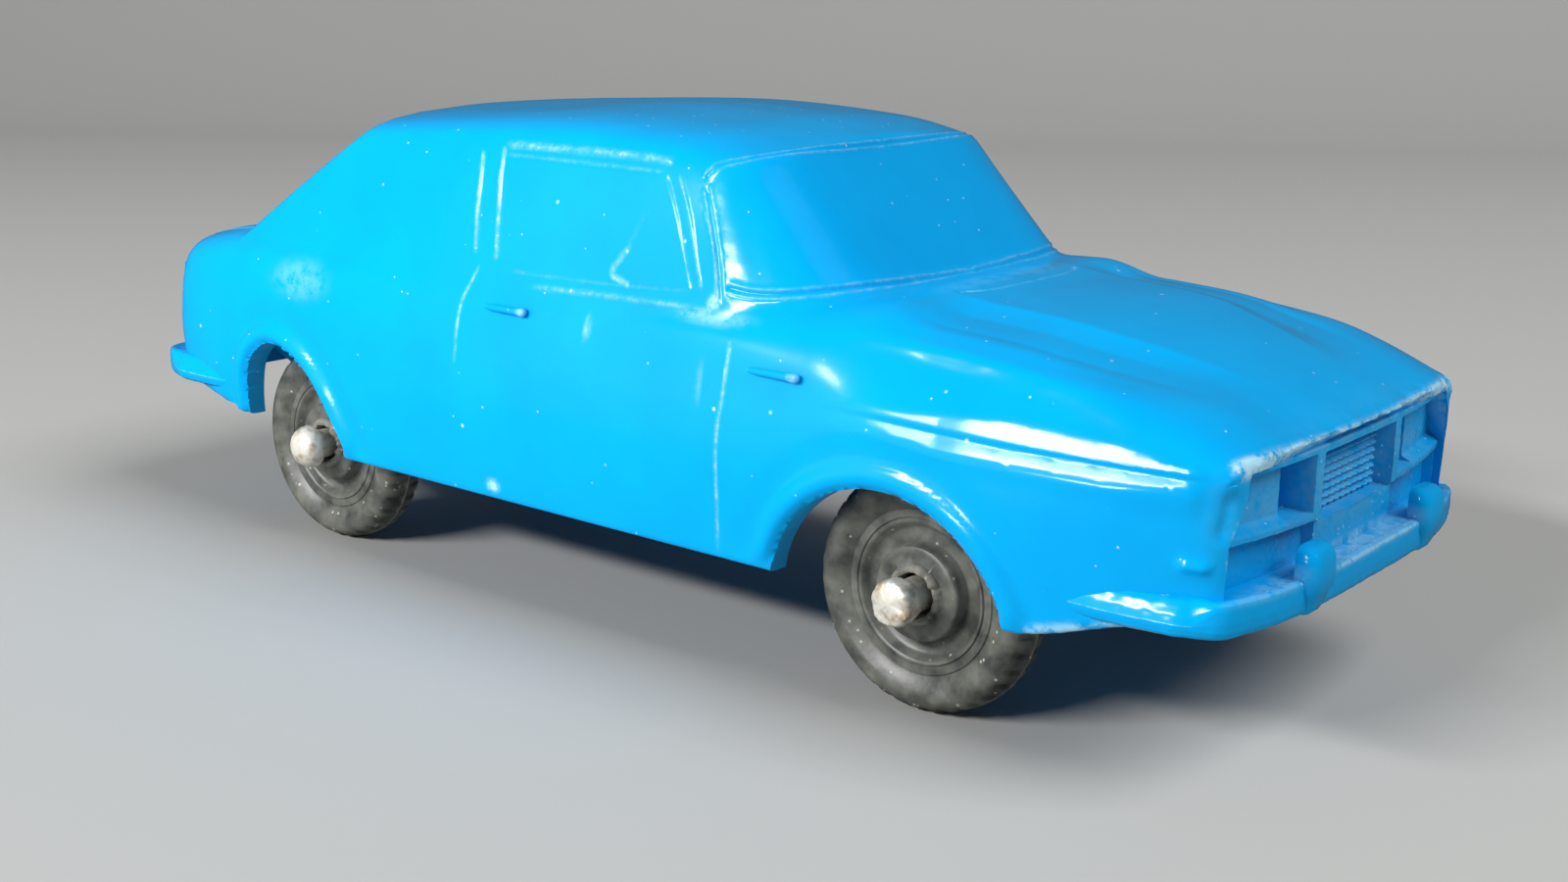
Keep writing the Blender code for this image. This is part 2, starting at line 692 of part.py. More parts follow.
def parent_to(item, parent):
    bpy.context.view_layer.update()
    place = item.matrix_world.copy()
    item.parent = parent
    item.matrix_parent_inverse = parent.matrix_world.inverted()
    item.matrix_world = place


def axle_profile():
    """Rod with a domed head on top and a flatter peened head below, as (radius, height) points."""
    end = AXLE_HALF_LENGTH
    neck = end - AXLE_HEAD_LENGTH
    domed, peened = DOMED_HEAD_RADIUS, PEENED_HEAD_RADIUS
    return [
        (0.0, end), (domed * 0.4, end - 0.08), (domed * 0.75, end - 0.35), (domed * 0.95, end - 0.75),
        (domed, end - 1.15), (domed, neck), (AXLE_RADIUS, neck), (AXLE_RADIUS, -neck), (peened, -neck),
        (peened, 0.4 - end), (peened * 0.88, 0.1 - end), (peened * 0.5, -end), (0.0, -end),
    ]


def build_axle(name, parts, steel, axle_x, domed_side):
    """Axle across the car, its domed head on the right (-1) or on the left (+1)."""
    axle = turned(name, parts, axle_profile(), (axle_x, 0.0, TYRE_RADIUS))
    axle.rotation_euler = (-domed_side * math.pi / 2, 0, 0)
    axle.data.materials.append(steel)
    return axle


def build_car():
    clear_scene()
    parts = new_collection("model_car")
    tools = new_collection("cutters")
    vinyl = make_material("blue vinyl", (0.004, 0.30, 0.80), 0.35)
    rubber = make_material("black wheel vinyl", (0.045, 0.047, 0.045), 0.6)
    steel = make_material("axle steel", (0.62, 0.60, 0.57), 0.35, 1.0)
    build_body(parts, tools, vinyl)
    for label, axle_x, domed_side in (("front", FRONT_AXLE_X, 1), ("rear", REAR_AXLE_X, -1)):
        axle = build_axle(label + "_axle", parts, steel, axle_x, domed_side)
        build_wheel("wheel_%s_right" % label, parts, rubber, axle, axle_x, -1)
        build_wheel("wheel_%s_left" % label, parts, rubber, axle, axle_x, 1)


build_car()
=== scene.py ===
# %% [markdown]
# # A moulded model car
# This lesson dresses a small free-rolling model car. The real one has seven pieces: a body
# moulded in one shot from soft blue vinyl, two steel wire axles with upset ends, and four black
# vinyl wheels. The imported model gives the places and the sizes, and this script gives the looks.

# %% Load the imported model
import json
import math

import bmesh
import bpy
import numpy as np
from mathutils import Matrix, Vector, noise
from mathutils.bvhtree import BVHTree

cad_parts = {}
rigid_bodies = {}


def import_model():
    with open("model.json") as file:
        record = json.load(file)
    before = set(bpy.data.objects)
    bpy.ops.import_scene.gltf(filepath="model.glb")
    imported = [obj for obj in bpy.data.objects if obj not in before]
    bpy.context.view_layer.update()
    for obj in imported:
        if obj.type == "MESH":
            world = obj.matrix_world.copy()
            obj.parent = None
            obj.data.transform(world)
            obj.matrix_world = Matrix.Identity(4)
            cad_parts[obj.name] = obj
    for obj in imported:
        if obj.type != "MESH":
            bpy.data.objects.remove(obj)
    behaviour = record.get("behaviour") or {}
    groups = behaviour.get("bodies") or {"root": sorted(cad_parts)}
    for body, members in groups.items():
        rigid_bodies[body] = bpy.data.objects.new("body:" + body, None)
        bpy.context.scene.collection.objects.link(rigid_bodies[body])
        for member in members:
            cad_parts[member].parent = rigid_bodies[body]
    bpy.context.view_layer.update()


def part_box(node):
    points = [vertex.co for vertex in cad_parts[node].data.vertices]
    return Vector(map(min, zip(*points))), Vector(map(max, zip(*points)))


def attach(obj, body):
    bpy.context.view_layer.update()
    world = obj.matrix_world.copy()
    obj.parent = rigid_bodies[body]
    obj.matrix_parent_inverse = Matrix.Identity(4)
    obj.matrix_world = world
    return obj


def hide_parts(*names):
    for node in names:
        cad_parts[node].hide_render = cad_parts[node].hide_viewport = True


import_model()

# %% [markdown]
# The car is worked out in millimetres, because its details are a few tenths of a millimetre
# wide. The axles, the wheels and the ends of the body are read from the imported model, so every
# piece lands where the construction has it.

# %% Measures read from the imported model
MM = 0.001


def box_mm(node):
    low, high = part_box(node)
    return np.array(low) / MM, np.array(high) / MM


body_low, body_high = box_mm("body_shell")
front_low, front_high = box_mm("wheel_front_right")
rear_low, rear_high = box_mm("wheel_rear_right")
FRONT_AXLE_X = (front_low[0] + front_high[0]) / 2
REAR_AXLE_X = (rear_low[0] + rear_high[0]) / 2
TYRE_RADIUS = front_high[2] / 2
NOSE_LEAD, TAIL_LEAD = 1.4, 2.0  # how far the bumpers stand out beyond the nose and the tail
NOSE_X, TAIL_X = body_high[0] - NOSE_LEAD, body_low[0] + TAIL_LEAD
BODY_HALF_WIDTH = 19.2
print("nose %.2f tail %.2f axles %.2f %.2f" % (NOSE_X, TAIL_X, FRONT_AXLE_X, REAR_AXLE_X))

# %% [markdown]
# A body like this is drawn with a few curves: how wide it is, how high its deck is and where its
# lower edge runs, each along the length of the car. A monotone cubic goes smoothly through the
# drawn points and never swings past them, which keeps a long flank straight.

# %% Curves through drawn points
def curve_through(points):
    """A smooth curve that never overshoots, as a function of one place or of many."""
    x, y = np.array(sorted(points), float).T
    step = np.diff(x)
    slope = np.diff(y) / step
    product = slope[:-1] * slope[1:]
    total = np.where(product > 0, slope[:-1] + slope[1:], 1.0)
    middle = np.where(product > 0, 2 * product / total, 0.0)
    tangent = np.concatenate([slope[:1], middle, slope[-1:]])

    def value(at):
        at = np.clip(at, x[0], x[-1])
        i = np.clip(np.searchsorted(x, at) - 1, 0, len(step) - 1)
        h = step[i]
        t = (at - x[i]) / h
        return (
            y[i] * (1 + 2 * t) * (1 - t) ** 2
            + y[i + 1] * t * t * (3 - 2 * t)
            + h * tangent[i] * t * (1 - t) ** 2
            - h * tangent[i + 1] * t * t * (1 - t)
        )

    return value


def rounded(points, per_span):
    """Points on a smooth line through the given ones."""
    p = np.array(points, float)
    p = np.vstack([2 * p[0] - p[1], p, 2 * p[-1] - p[-2]])
    gaps = np.linalg.norm(np.diff(p, axis=0), axis=1) ** 0.5
    knot = np.concatenate([[0], np.cumsum(gaps)])
    line = []
    for i in range(1, len(p) - 2):
        t0, t1, t2, t3 = knot[i - 1:i + 3]
        for s in range(per_span):
            t = t1 + (t2 - t1) * s / per_span
            a = ((t1 - t) * p[i - 1] + (t - t0) * p[i]) / (t1 - t0)
            b = ((t2 - t) * p[i] + (t - t1) * p[i + 1]) / (t2 - t1)
            c = ((t3 - t) * p[i + 1] + (t - t2) * p[i + 2]) / (t3 - t2)
            d = ((t2 - t) * a + (t - t0) * b) / (t2 - t0)
            e = ((t3 - t) * b + (t - t1) * c) / (t3 - t1)
            line.append(((t2 - t) * d + (t - t1) * e) / (t2 - t1))
    line.append(p[-2])
    return np.array(line)


def ramp(at, start, end):
    """0 before start, 1 after end, and a soft step between them."""
    t = np.clip((at - start) / (end - start), 0.0, 1.0)
    return t * t * (3 - 2 * t)


def soft_box(u, v, low_u, high_u, low_v, high_v, edge):
    """1 inside a rectangle, 0 outside, with sloping walls of the given width."""
    inside = ramp(u, low_u - edge, low_u) * (1 - ramp(u, high_u, high_u + edge))
    return inside * ramp(v, low_v - edge, low_v) * (1 - ramp(v, high_v, high_v + edge))


# %% The curves of this body
SILL_Z, BELT_Z, COWL_Z = 7.9, 24.8, 25.6
HOOD_LIP_Z, BOOT_EDGE_Z = 20.0, 22.3
WALL, NOSE_WALL = 1.8, 3.0
ROOF_CREST_Z, ROOF_EDGE_DROP, ROOF_EDGE_WIDTH = 35.68, 2.6, 4.6
BELT_HALF_WIDTH, ROOF_HALF_WIDTH = 17.3, 14.9
SCREEN_BASE_X, SCREEN_RUN = FRONT_AXLE_X - 6.7, 8.2
SCREEN_WRAP, SCREEN_TOP_WRAP = 9.6, 4.2
BACKLIGHT_BASE_X, BACKLIGHT_RUN = REAR_AXLE_X - 10.4, 12.9

half_width = curve_through([
    (TAIL_X, BODY_HALF_WIDTH - 3.0), (TAIL_X + 2.5, BODY_HALF_WIDTH - 1.9),
    (TAIL_X + 7.0, BODY_HALF_WIDTH - 1.1), (REAR_AXLE_X - 6.5, BODY_HALF_WIDTH - 0.5),
    (REAR_AXLE_X + 6.0, BODY_HALF_WIDTH), (FRONT_AXLE_X + 4.0, BODY_HALF_WIDTH),
    (NOSE_X - 8.0, BODY_HALF_WIDTH - 0.8), (NOSE_X - 3.0, BODY_HALF_WIDTH - 1.9),
    (NOSE_X, BODY_HALF_WIDTH - 2.8),
])
deck_height = curve_through([
    (TAIL_X, BOOT_EDGE_Z), (TAIL_X + 2.5, BOOT_EDGE_Z + 0.9), (BACKLIGHT_BASE_X, BELT_Z - 0.5),
    (REAR_AXLE_X, BELT_Z), (SCREEN_BASE_X - SCREEN_WRAP, BELT_Z + 0.2),
    (SCREEN_BASE_X + 3.5, COWL_Z), (FRONT_AXLE_X + 5.0, COWL_Z - 0.4),
    (NOSE_X - 12.0, COWL_Z - 1.2), (NOSE_X - 5.0, COWL_Z - 3.5), (NOSE_X, HOOD_LIP_Z),
])
lower_edge = curve_through([
    (TAIL_X, 11.2), (REAR_AXLE_X - 7.0, SILL_Z + 1.4), (REAR_AXLE_X + 5.0, SILL_Z),
    (FRONT_AXLE_X + 8.0, SILL_Z), (NOSE_X - 5.0, 9.8), (NOSE_X, 10.2),
])
feature_line = curve_through([(SCREEN_BASE_X - SCREEN_WRAP, 18.1), (NOSE_X, 19.4)])
roof_height = curve_through([
    (BACKLIGHT_BASE_X, ROOF_CREST_Z - 3.4),
    (BACKLIGHT_BASE_X + BACKLIGHT_RUN, ROOF_CREST_Z - 1.5),
    (BACKLIGHT_BASE_X + 2 * BACKLIGHT_RUN, ROOF_CREST_Z - 0.5),
    (SCREEN_BASE_X - 3 * SCREEN_RUN, ROOF_CREST_Z),
    (SCREEN_BASE_X - 1.8 * SCREEN_RUN, ROOF_CREST_Z - 0.4),
    (SCREEN_BASE_X - SCREEN_RUN, ROOF_CREST_Z - 1.6), (SCREEN_BASE_X, ROOF_CREST_Z - 3.6),
])
cabin_share = curve_through([
    (BACKLIGHT_BASE_X, 0.9), (REAR_AXLE_X, 0.96), (BACKLIGHT_BASE_X + 2 * BACKLIGHT_RUN, 1.0),
])
print("deck over the front axle: %.2f mm" % deck_height(FRONT_AXLE_X))

# %% [markdown]
# The lower body is a loft: half sections across the car, joined along its length and mirrored.
# Its ends are drawn in a little over the last millimetre, so that they come out rounded, as a
# mould that has to let go of soft vinyl is. The same sections, drawn in by the wall thickness,
# give the hollow.

# %% Sections of the lower body and the cabin
def lower_section(x, inset):
    side = half_width(x) - inset
    top = deck_height(x) - inset
    feature = min(feature_line(x), top - 0.5)
    bottom = lower_edge(x) - (2 * WALL if inset else 0.0)
    flank, rise = feature - bottom, top - feature
    wing = ramp(x, 10.0, 26.0) * (0.8 - 0.4 * ramp(x, 36.0, 48.0))
    below = [
        (side - 0.6, bottom), (side - 0.15, bottom + 0.35 * flank),
        (side, bottom + 0.65 * flank), (side - 0.2, feature),
    ]
    above = [
        (side - 0.2, feature), (side - 0.6 - 0.85 * wing, feature + 0.42 * rise),
        (side - 1.3 - 1.5 * wing, feature + 0.7 * rise),
        (side - 2.4 - 1.9 * wing, feature + 0.85 * rise),
        (side - 5.0 - 0.8 * wing, feature + 0.95 * rise), (side * 0.46, top - 0.15),
        (side * 0.2, top - 0.02), (0.02, top),
    ]
    return np.vstack([rounded(below, 5), rounded(above, 5)[1:]])


def cabin_section(x, inset):
    share = cabin_share(x) - 0.016 * max(0.0, (x - SCREEN_BASE_X) / SCREEN_RUN + 2)
    roof = ROOF_HALF_WIDTH * share - inset
    belt = BELT_HALF_WIDTH * share - inset
    top = roof_height(x) - inset
    drop, edge = ROOF_EDGE_DROP, ROOF_EDGE_WIDTH
    lean = (belt - roof) / (ROOF_CREST_Z - 1.27 * drop - BELT_Z)
    line = [
        (belt + 3.0 * lean, BELT_Z - 3.0), (belt, BELT_Z),
        ((belt + roof) / 2 + 0.1 * drop, (BELT_Z + top - drop) / 2), (roof, top - drop),
        (roof - 0.12 * edge, top - 0.65 * drop), (roof - 0.39 * edge, top - 0.4 * drop),
        (roof - edge, top - 0.19 * drop), (roof * 0.35, top - 0.05 * drop),
        (roof * 0.12, top), (0.02, top),
    ]
    return rounded(line, 5)


def drawn_in(x, radius, end, way):
    """How far a section lies inside the full one where the end of the loft is rounded."""
    left = max(0.0, radius - (end - x) * way)
    return radius - math.sqrt(max(0.0, radius * radius - left * left))


def bow(x, share):
    """How far nose and tail curve back towards the car's sides."""
    nose = max(0.0, 1.0 - (NOSE_X - x) / 14.0)
    tail = max(0.0, 1.0 - (x - TAIL_X) / 10.0)
    return (1.2 * tail - 1.2 * nose) * share ** 3


# %% Closed meshes through rings of points
def new_piece(name, vertices, faces):
    """An object in the scene from vertices in millimetres."""
    mesh = bpy.data.meshes.new(name)
    mesh.from_pydata(np.asarray(vertices, float).tolist(), [], faces)
    mesh.update()
    piece = bpy.data.objects.new(name, mesh)
    bpy.context.scene.collection.objects.link(piece)
    return piece


def face_out(piece):
    """Turn every face so that it looks outward."""
    shape = bmesh.new()
    shape.from_mesh(piece.data)
    bmesh.ops.recalc_face_normals(shape, faces=shape.faces)
    shape.to_mesh(piece.data)
    shape.free()


def tube_faces(levels, count, endless=False):
    """Faces between rings of points that lie one after the other."""
    faces = []
    for i in range(levels if endless else levels - 1):
        a, b = i * count, (i + 1) % levels * count
        faces += [(a + j, a + (j + 1) % count, b + (j + 1) % count, b + j) for j in range(count)]
    return faces


def stacked(name, rings):
    """A closed form through rings of (x, y, z) points, with a flat face at each end."""
    levels, count = len(rings), len(rings[0])
    faces = tube_faces(levels, count)
    faces += [tuple(range(count)), tuple(range((levels - 1) * count, levels * count))]
    piece = new_piece(name, np.vstack(rings), faces)
    face_out(piece)
    return piece


def loft(name, sections):
    """A closed form through half sections of (x, y, z) points, mirrored over the middle."""
    rings = [np.vstack([s * (1, -1, 1), s[::-1]]) for s in sections]
    count = len(rings[0])
    faces = [(a, d, c, b) for a, b, c, d in tube_faces(len(rings), count)]
    last = (len(rings) - 1) * count
    for j in range(count // 2 - 1):
        k = count - 1 - j
        faces.append((j, j + 1, k - 1, k))
        faces.append((last + j, last + k, last + k - 1, last + j + 1))
    return new_piece(name, np.vstack(rings), faces)


# %% The lower body
def lower_body(name, inset, step):
    start = TAIL_X + inset
    end = NOSE_X - (NOSE_WALL if inset else 0.0)
    places = list(np.linspace(start + 1.2, end - 0.9, int((end - start) / step)))
    places = [start + d for d in (0.0, 0.08, 0.3, 0.6, 0.9)] + places
    places += [end - d for d in (0.6, 0.35, 0.15, 0.04, 0.0)]
    sections = []
    for x in places:
        round_off = drawn_in(x, 1.2, start, -1) + drawn_in(x, 0.45, end, 1)
        yz = lower_section(x, inset)
        widest = yz[:, 0].max()
        between_lamp_and_bumper = (1 - ramp(yz[:, 1], 17.9, 18.7)) * ramp(yz[:, 1], 11.5, 12.3)
        corner = drawn_in(x, 1.3, end, 1) * between_lamp_and_bumper
        y = yz[:, 0] * (1 - (round_off + corner) / widest)
        z = yz[:, 1] - round_off * ramp(yz[:, 1], 18.0, 21.0)
        sections.append(np.column_stack([x + bow(x, y / widest), y, z]))
    return loft(name, sections)


# %% [markdown]
# The cabin is lofted in the same way and then trimmed by one block whose front is the bent
# windscreen and whose back is the sloping rear window. An intersection keeps the screen's
# wrapped corners exactly as the block has them.

# %% The cabin, trimmed by its glass
def glass_outline(z, inset):
    climb = (z - BELT_Z) / (ROOF_CREST_Z - 2.0 - BELT_Z)
    front = SCREEN_BASE_X - SCREEN_RUN * climb - inset * 1.2
    wrap = SCREEN_WRAP + (SCREEN_TOP_WRAP - SCREEN_WRAP) * climb
    rear = BACKLIGHT_BASE_X + BACKLIGHT_RUN * climb + inset * 1.3
    outer = BELT_HALF_WIDTH + (ROOF_HALF_WIDTH - BELT_HALF_WIDTH) * climb - inset
    shares = np.concatenate([np.linspace(0, 0.7, 12), np.linspace(0.74, 1.04, 14)])
    ahead = np.column_stack([front - wrap * shares ** 7.5, outer * shares])
    behind = np.column_stack([rear + 3.0 * shares ** 3, outer * shares])[::-1]
    return np.vstack([ahead, behind])


def glass_block(inset):
    """The block between windscreen and rear window, from below the belt to above the roof."""
    levels = []
    for z in (BELT_Z - 4.0, ROOF_CREST_Z + 2.0):
        right = [(x, -y, z) for x, y in glass_outline(z, inset)]
        levels.append(right + [(x, -y, z) for x, y, z in reversed(right[1:-1])])
    return stacked("glass_block", levels)


def apply_modifiers(piece):
    """Swap the piece's mesh for the one that its modifiers give."""
    graph = bpy.context.evaluated_depsgraph_get()
    mesh = bpy.data.meshes.new_from_object(piece.evaluated_get(graph))
    old = piece.data
    piece.modifiers.clear()
    piece.data = mesh
    bpy.data.meshes.remove(old)


def boolean(piece, tool, operation):
    """Cut or join with a tool, which is used up."""
    change = piece.modifiers.new(operation, "BOOLEAN")
    change.operation, change.solver, change.object = operation, "EXACT", tool
    apply_modifiers(piece)
    bpy.data.objects.remove(tool, do_unlink=True)


def cabin(name, inset, step):
    start, end = BACKLIGHT_BASE_X - 2.0, SCREEN_BASE_X + 2.0
    places = np.linspace(start, end, int((end - start) / step))
    sections = []
    for x in places:
        yz = cabin_section(x, inset)
        sections.append(np.column_stack([np.full(len(yz), x), yz]))
    piece = loft(name, sections)
    boolean(piece, glass_block(inset), "INTERSECT")
    return piece


# %% [markdown]
# Soft vinyl has no sharp edges where cabin and body meet. A voxel remesh joins the two lofts
# into one skin of even small faces, and a few rounds of smoothing run the joint into a fillet.
# The even skin is then fine enough to press lines into.

# %% One skin for the whole outside
SKIN_GRAIN = 0.32


def merge(name, pieces):
    """One mesh object from several, whose originals are removed."""
    shape = bmesh.new()
    for piece in pieces:
        shape.from_mesh(piece.data)
        bpy.data.objects.remove(piece, do_unlink=True)
    mesh = bpy.data.meshes.new(name)
    shape.to_mesh(mesh)
    shape.free()
    merged = bpy.data.objects.new(name, mesh)
    bpy.context.scene.collection.objects.link(merged)
    return merged


def smooth(piece, rounds, group=""):
    """Even out the mesh, either all of it or one vertex group."""
    change = piece.modifiers.new("Smooth", "SMOOTH")
    change.factor, change.iterations, change.vertex_group = 0.5, rounds, group
    apply_modifiers(piece)


body = merge("body_skin", [lower_body("lower", 0.0, 1.0), cabin("cabin", 0.0, 1.0)])
remesh = body.modifiers.new("Even skin", "REMESH")
remesh.mode, remesh.voxel_size = "VOXEL", SKIN_GRAIN
apply_modifiers(body)
smooth(body, round(3.2 / SKIN_GRAIN))
print("skin: %d faces" % len(body.data.polygons))

# %% [markdown]
# The moulded lines are pressed into the skin: window frames, screen frames, door gaps, the crease
# along the wings. Each is drawn as a few points on the car's right side, laid onto the skin and
# mirrored. Near a line the skin's faces are split finer, because a gap of a few tenths of a
# millimetre needs faces of a tenth.

# %% Lines drawn on the right side
# name, half width, depth (a ridge where it is negative), height of the lips beside it, length
# over which it fades at its ends, how pale it is rubbed, and its points
LINES = [
    ("screen_top", 0.13, 0.07, 0.06, 0.3, 0.35, [
        (9.6, -14.7, 31.9), (10.2, -14.2, 32.7), (11.4, -13.2, 33.2), (12.6, -10.6, 33.6),
        (13.2, -5.9, 33.75), (13.4, 0.0, 33.8)]),
    ("screen_foot", 0.14, 0.08, 0.06, 0.3, 0.3, [
        (13.1, -16.7, 25.5), (15.0, -16.0, 25.2), (17.2, -15.0, 25.3), (19.4, -12.7, 25.5),
        (20.5, -9.5, 25.7), (20.9, -5.0, 25.8), (21.1, 0.0, 25.8)]),
    ("screen_side", 0.12, 0.05, 0.05, 0.6, 0.5, [
        (9.9, -15.0, 31.7), (11.2, -15.8, 29.3), (12.3, -16.5, 26.8), (13.1, -17.1, 24.4)]),
    ("screen_side_outer", 0.12, -0.07, 0.0, 0.8, 0.5, [
        (10.2, -15.4, 30.2), (11.5, -16.2, 28.2), (12.2, -16.7, 26.2), (12.6, -17.2, 24.2)]),
    ("window_top", 0.22, -0.07, 0.0, 0.8, 0.6, [
        (-9.3, -14.9, 33.0), (-1.0, -14.9, 33.1), (4.0, -14.8, 33.1), (6.9, -14.6, 32.9)]),
    ("window_top_inner", 0.12, 0.06, 0.0, 0.8, 0.3, [
        (-8.8, -15.1, 32.3), (-0.7, -15.2, 32.3), (6.4, -15.0, 32.2)]),
    ("window_rear", 0.16, -0.10, 0.0, 0.4, 0.9, [
        (-9.2, -14.9, 33.0), (-8.9, -15.7, 31.0), (-8.3, -16.4, 28.2), (-7.9, -17.2, 25.0)]),
    ("window_rear_outer", 0.16, -0.10, 0.0, 0.6, 0.9, [
        (-11.3, -15.0, 32.5), (-10.7, -16.1, 29.6), (-10.1, -17.1, 25.2)]),
    ("window_front", 0.12, 0.06, 0.0, 0.5, 0.25, [
        (6.6, -15.0, 32.1), (8.3, -15.9, 29.6), (9.8, -16.7, 26.4), (10.5, -17.0, 25.0)]),
    ("window_front_outer", 0.12, -0.07, 0.0, 0.8, 0.6, [
        (7.4, -14.8, 32.3), (9.2, -15.8, 29.6), (10.6, -16.6, 26.6), (11.3, -17.0, 25.0)]),
    ("window_foot", 0.12, 0.06, 0.0, 1.5, 0.2, [
        (-6.6, -17.3, 24.5), (1.3, -17.3, 24.6), (8.3, -17.1, 24.9), (10.3, -17.0, 25.0)]),
    ("window_sill", 0.17, -0.07, 0.0, 2.5, 0.4, [
        (-4.6, -17.7, 23.7), (2.5, -17.6, 23.9), (9.4, -17.5, 24.0), (12.7, -17.4, 24.0)]),
    ("door_front", 0.12, 0.05, 0.0, 0.8, 0.7, [
        (14.7, -18.4, 22.7), (14.7, -19.1, 19.3), (14.4, -19.4, 16.7), (14.4, -19.4, 12.0),
        (14.2, -19.0, 8.3)]),
    ("door_rear", 0.12, 0.05, 0.0, 0.8, 0.7, [
        (-9.4, -17.4, 24.7), (-10.3, -18.4, 22.5), (-10.6, -19.3, 17.4)]),
    ("wing_crease", 0.20, 0.02, 0.0, 6.0, 0.0, [
        (23.0, -18.8, 19.6), (35.4, -18.6, 19.35), (42.0, -17.9, 19.2), (47.5, -16.8, 19.0)]),
    ("cowl_line", 0.16, 0.11, 0.0, 0.8, 0.95, [
        (24.6, -7.5, 25.4), (25.6, -5.0, 25.5), (25.9, 0.0, 25.6)]),
    ("corner_groove", 0.50, 0.22, 0.0, 1.2, 0.0, [
        (48.8, -16.0, 18.6), (48.6, -16.1, 16.8), (48.3, -16.3, 15.0)]),
    ("rear_screen_top", 0.13, 0.10, 0.06, 0.5, 0.4, [
        (-28.0, -12.9, 32.9), (-27.4, -8.0, 33.7), (-27.2, 0.0, 34.0)]),
    ("rear_screen_side", 0.13, 0.10, 0.06, 0.5, 0.4, [
        (-28.2, -13.1, 32.7), (-33.0, -14.0, 29.3), (-38.2, -14.9, 25.8)]),
    ("rear_screen_foot", 0.13, 0.10, 0.06, 0.5, 0.4, [
        (-38.4, -14.9, 25.6), (-39.4, -9.0, 25.2), (-39.7, 0.0, 25.2)]),
    ("boot_side", 0.13, 0.10, 0.03, 0.8, 0.3, [
        (-40.8, -13.6, 24.4), (-46.0, -13.2, 23.8), (-49.0, -12.8, 22.3), (-49.4, -12.6, 19.5),
        (-49.4, -12.4, 17.0)]),
    ("boot_foot", 0.13, 0.10, 0.03, 0.8, 0.3, [
        (-49.4, -12.4, 16.9), (-49.45, -6.0, 16.7), (-49.45, 0.0, 16.7)]),
    ("corner_bar", 0.40, -0.30, 0.0, 0.9, 0.0, [(46.0, -17.4, 14.0), (48.6, -16.6, 13.9)]),
]


# %% Distances to the lines
def laid_on(tree, points):
    """The drawn line in steps of about 0.4 mm, each point dropped onto the skin."""
    line = rounded(points, 14)
    return np.array([tree.find_nearest(Vector(p))[0] for p in line])


def distance_to(line, points):
    """Distance from each point to a line, and how far along the line its foot lies."""
    best = np.full(len(points), 1e9)
    along = np.zeros(len(points))
    lengths = np.linalg.norm(np.diff(line, axis=0), axis=1)
    starts = np.concatenate([[0], np.cumsum(lengths)])
    for i, length in enumerate(lengths):
        if length < 1e-9:
            continue
        way = (line[i + 1] - line[i]) / length
        t = np.clip((points - line[i]) @ way, 0, length)
        d = np.linalg.norm(points - line[i] - t[:, None] * way, axis=1)
        closer = d < best
        best[closer] = d[closer]
        along[closer] = (starts[i] + t)[closer]
    return best, along, starts[-1]


def folded(points):
    """Every point brought to the car's right side, where the lines are drawn."""
    return np.column_stack([points[:, 0], -np.abs(points[:, 1]), points[:, 2]])


def read(mesh):
    """Place and outward direction of every point of a mesh."""
    both = np.empty((2, len(mesh.vertices) * 3))
    mesh.vertices.foreach_get("co", both[0])
    mesh.vertices.foreach_get("normal", both[1])
    return both.reshape(2, -1, 3)


faces = [tuple(p.vertices) for p in body.data.polygons]
skin_tree = BVHTree.FromPolygons(read(body.data)[0].tolist(), faces)
laid_lines = [(laid_on(skin_tree, points), *rest) for _, *rest, points in LINES]
print("lines laid:", len(laid_lines))

# %% Split the skin near the lines
CLOSE = 0.55


def boxed(place, line, reach):
    """Which points lie in the line's own box, widened by the reach."""
    return np.flatnonzero(np.all((place > line.min(0) - reach) & (place < line.max(0) + reach), axis=1))


def near_mask(points, reach):
    mask = np.zeros(len(points), bool)
    place = folded(points)
    for line, *_ in laid_lines:
        found = boxed(place, line, reach)
        mask[found[distance_to(line, place[found])[0] < reach]] = True
    return mask


def refine(piece, mask, cuts):
    shape = bmesh.new()
    shape.from_mesh(piece.data)
    shape.verts.ensure_lookup_table()
    edges = [e for e in shape.edges if mask[e.verts[0].index] and mask[e.verts[1].index]]
    bmesh.ops.subdivide_edges(shape, edges=edges, cuts=cuts, use_grid_fill=True)
    bmesh.ops.triangulate(shape, faces=[f for f in shape.faces if len(f.verts) > 4])
    shape.to_mesh(piece.data)
    shape.free()


refine(body, near_mask(read(body.data)[0], CLOSE), 3)
near_lines = np.flatnonzero(near_mask(read(body.data)[0], CLOSE * 1.25))
body.vertex_groups.new(name="near_lines").add(near_lines.tolist(), 1.0, "REPLACE")
smooth(body, 4, "near_lines")
print("skin after splitting: %d faces" % len(body.data.polygons))

# %% [markdown]
# Next come the broad forms that the drawn sections don't have. The hood stands between two
# straight creases, with a shallow valley on each side before the wing rises again. Over the
# front wheel two flat bands lean in, one above the other, with a crease between them. Each wheel
# opening has a soft rolled lip. All of these move the skin along its own direction, and the
# narrow lines are pressed in after them.

# %% Lips of the wheel openings
FRONT_ARCH_X, FRONT_ARCH_Z = FRONT_AXLE_X - 0.9, TYRE_RADIUS - 1.9
FRONT_ARCH_RADIUS = TYRE_RADIUS + 1.0

# distance from the edge of a wheel opening, and how far the lip stands out there
LIP_AT = [0.0, 0.35, 0.8, 1.0, 1.2, 1.85, 2.6, 3.6]
FRONT_LIP = [0.0, 0.2, 0.27, 0.28, 0.24, -0.1, -0.08, 0.0]
REAR_LIP = [0.0, 0.2, 0.27, 0.27, 0.21, -0.22, -0.14, 0.0]
EDGE_ROUNDING, EDGE_REACH = 0.35, 0.28

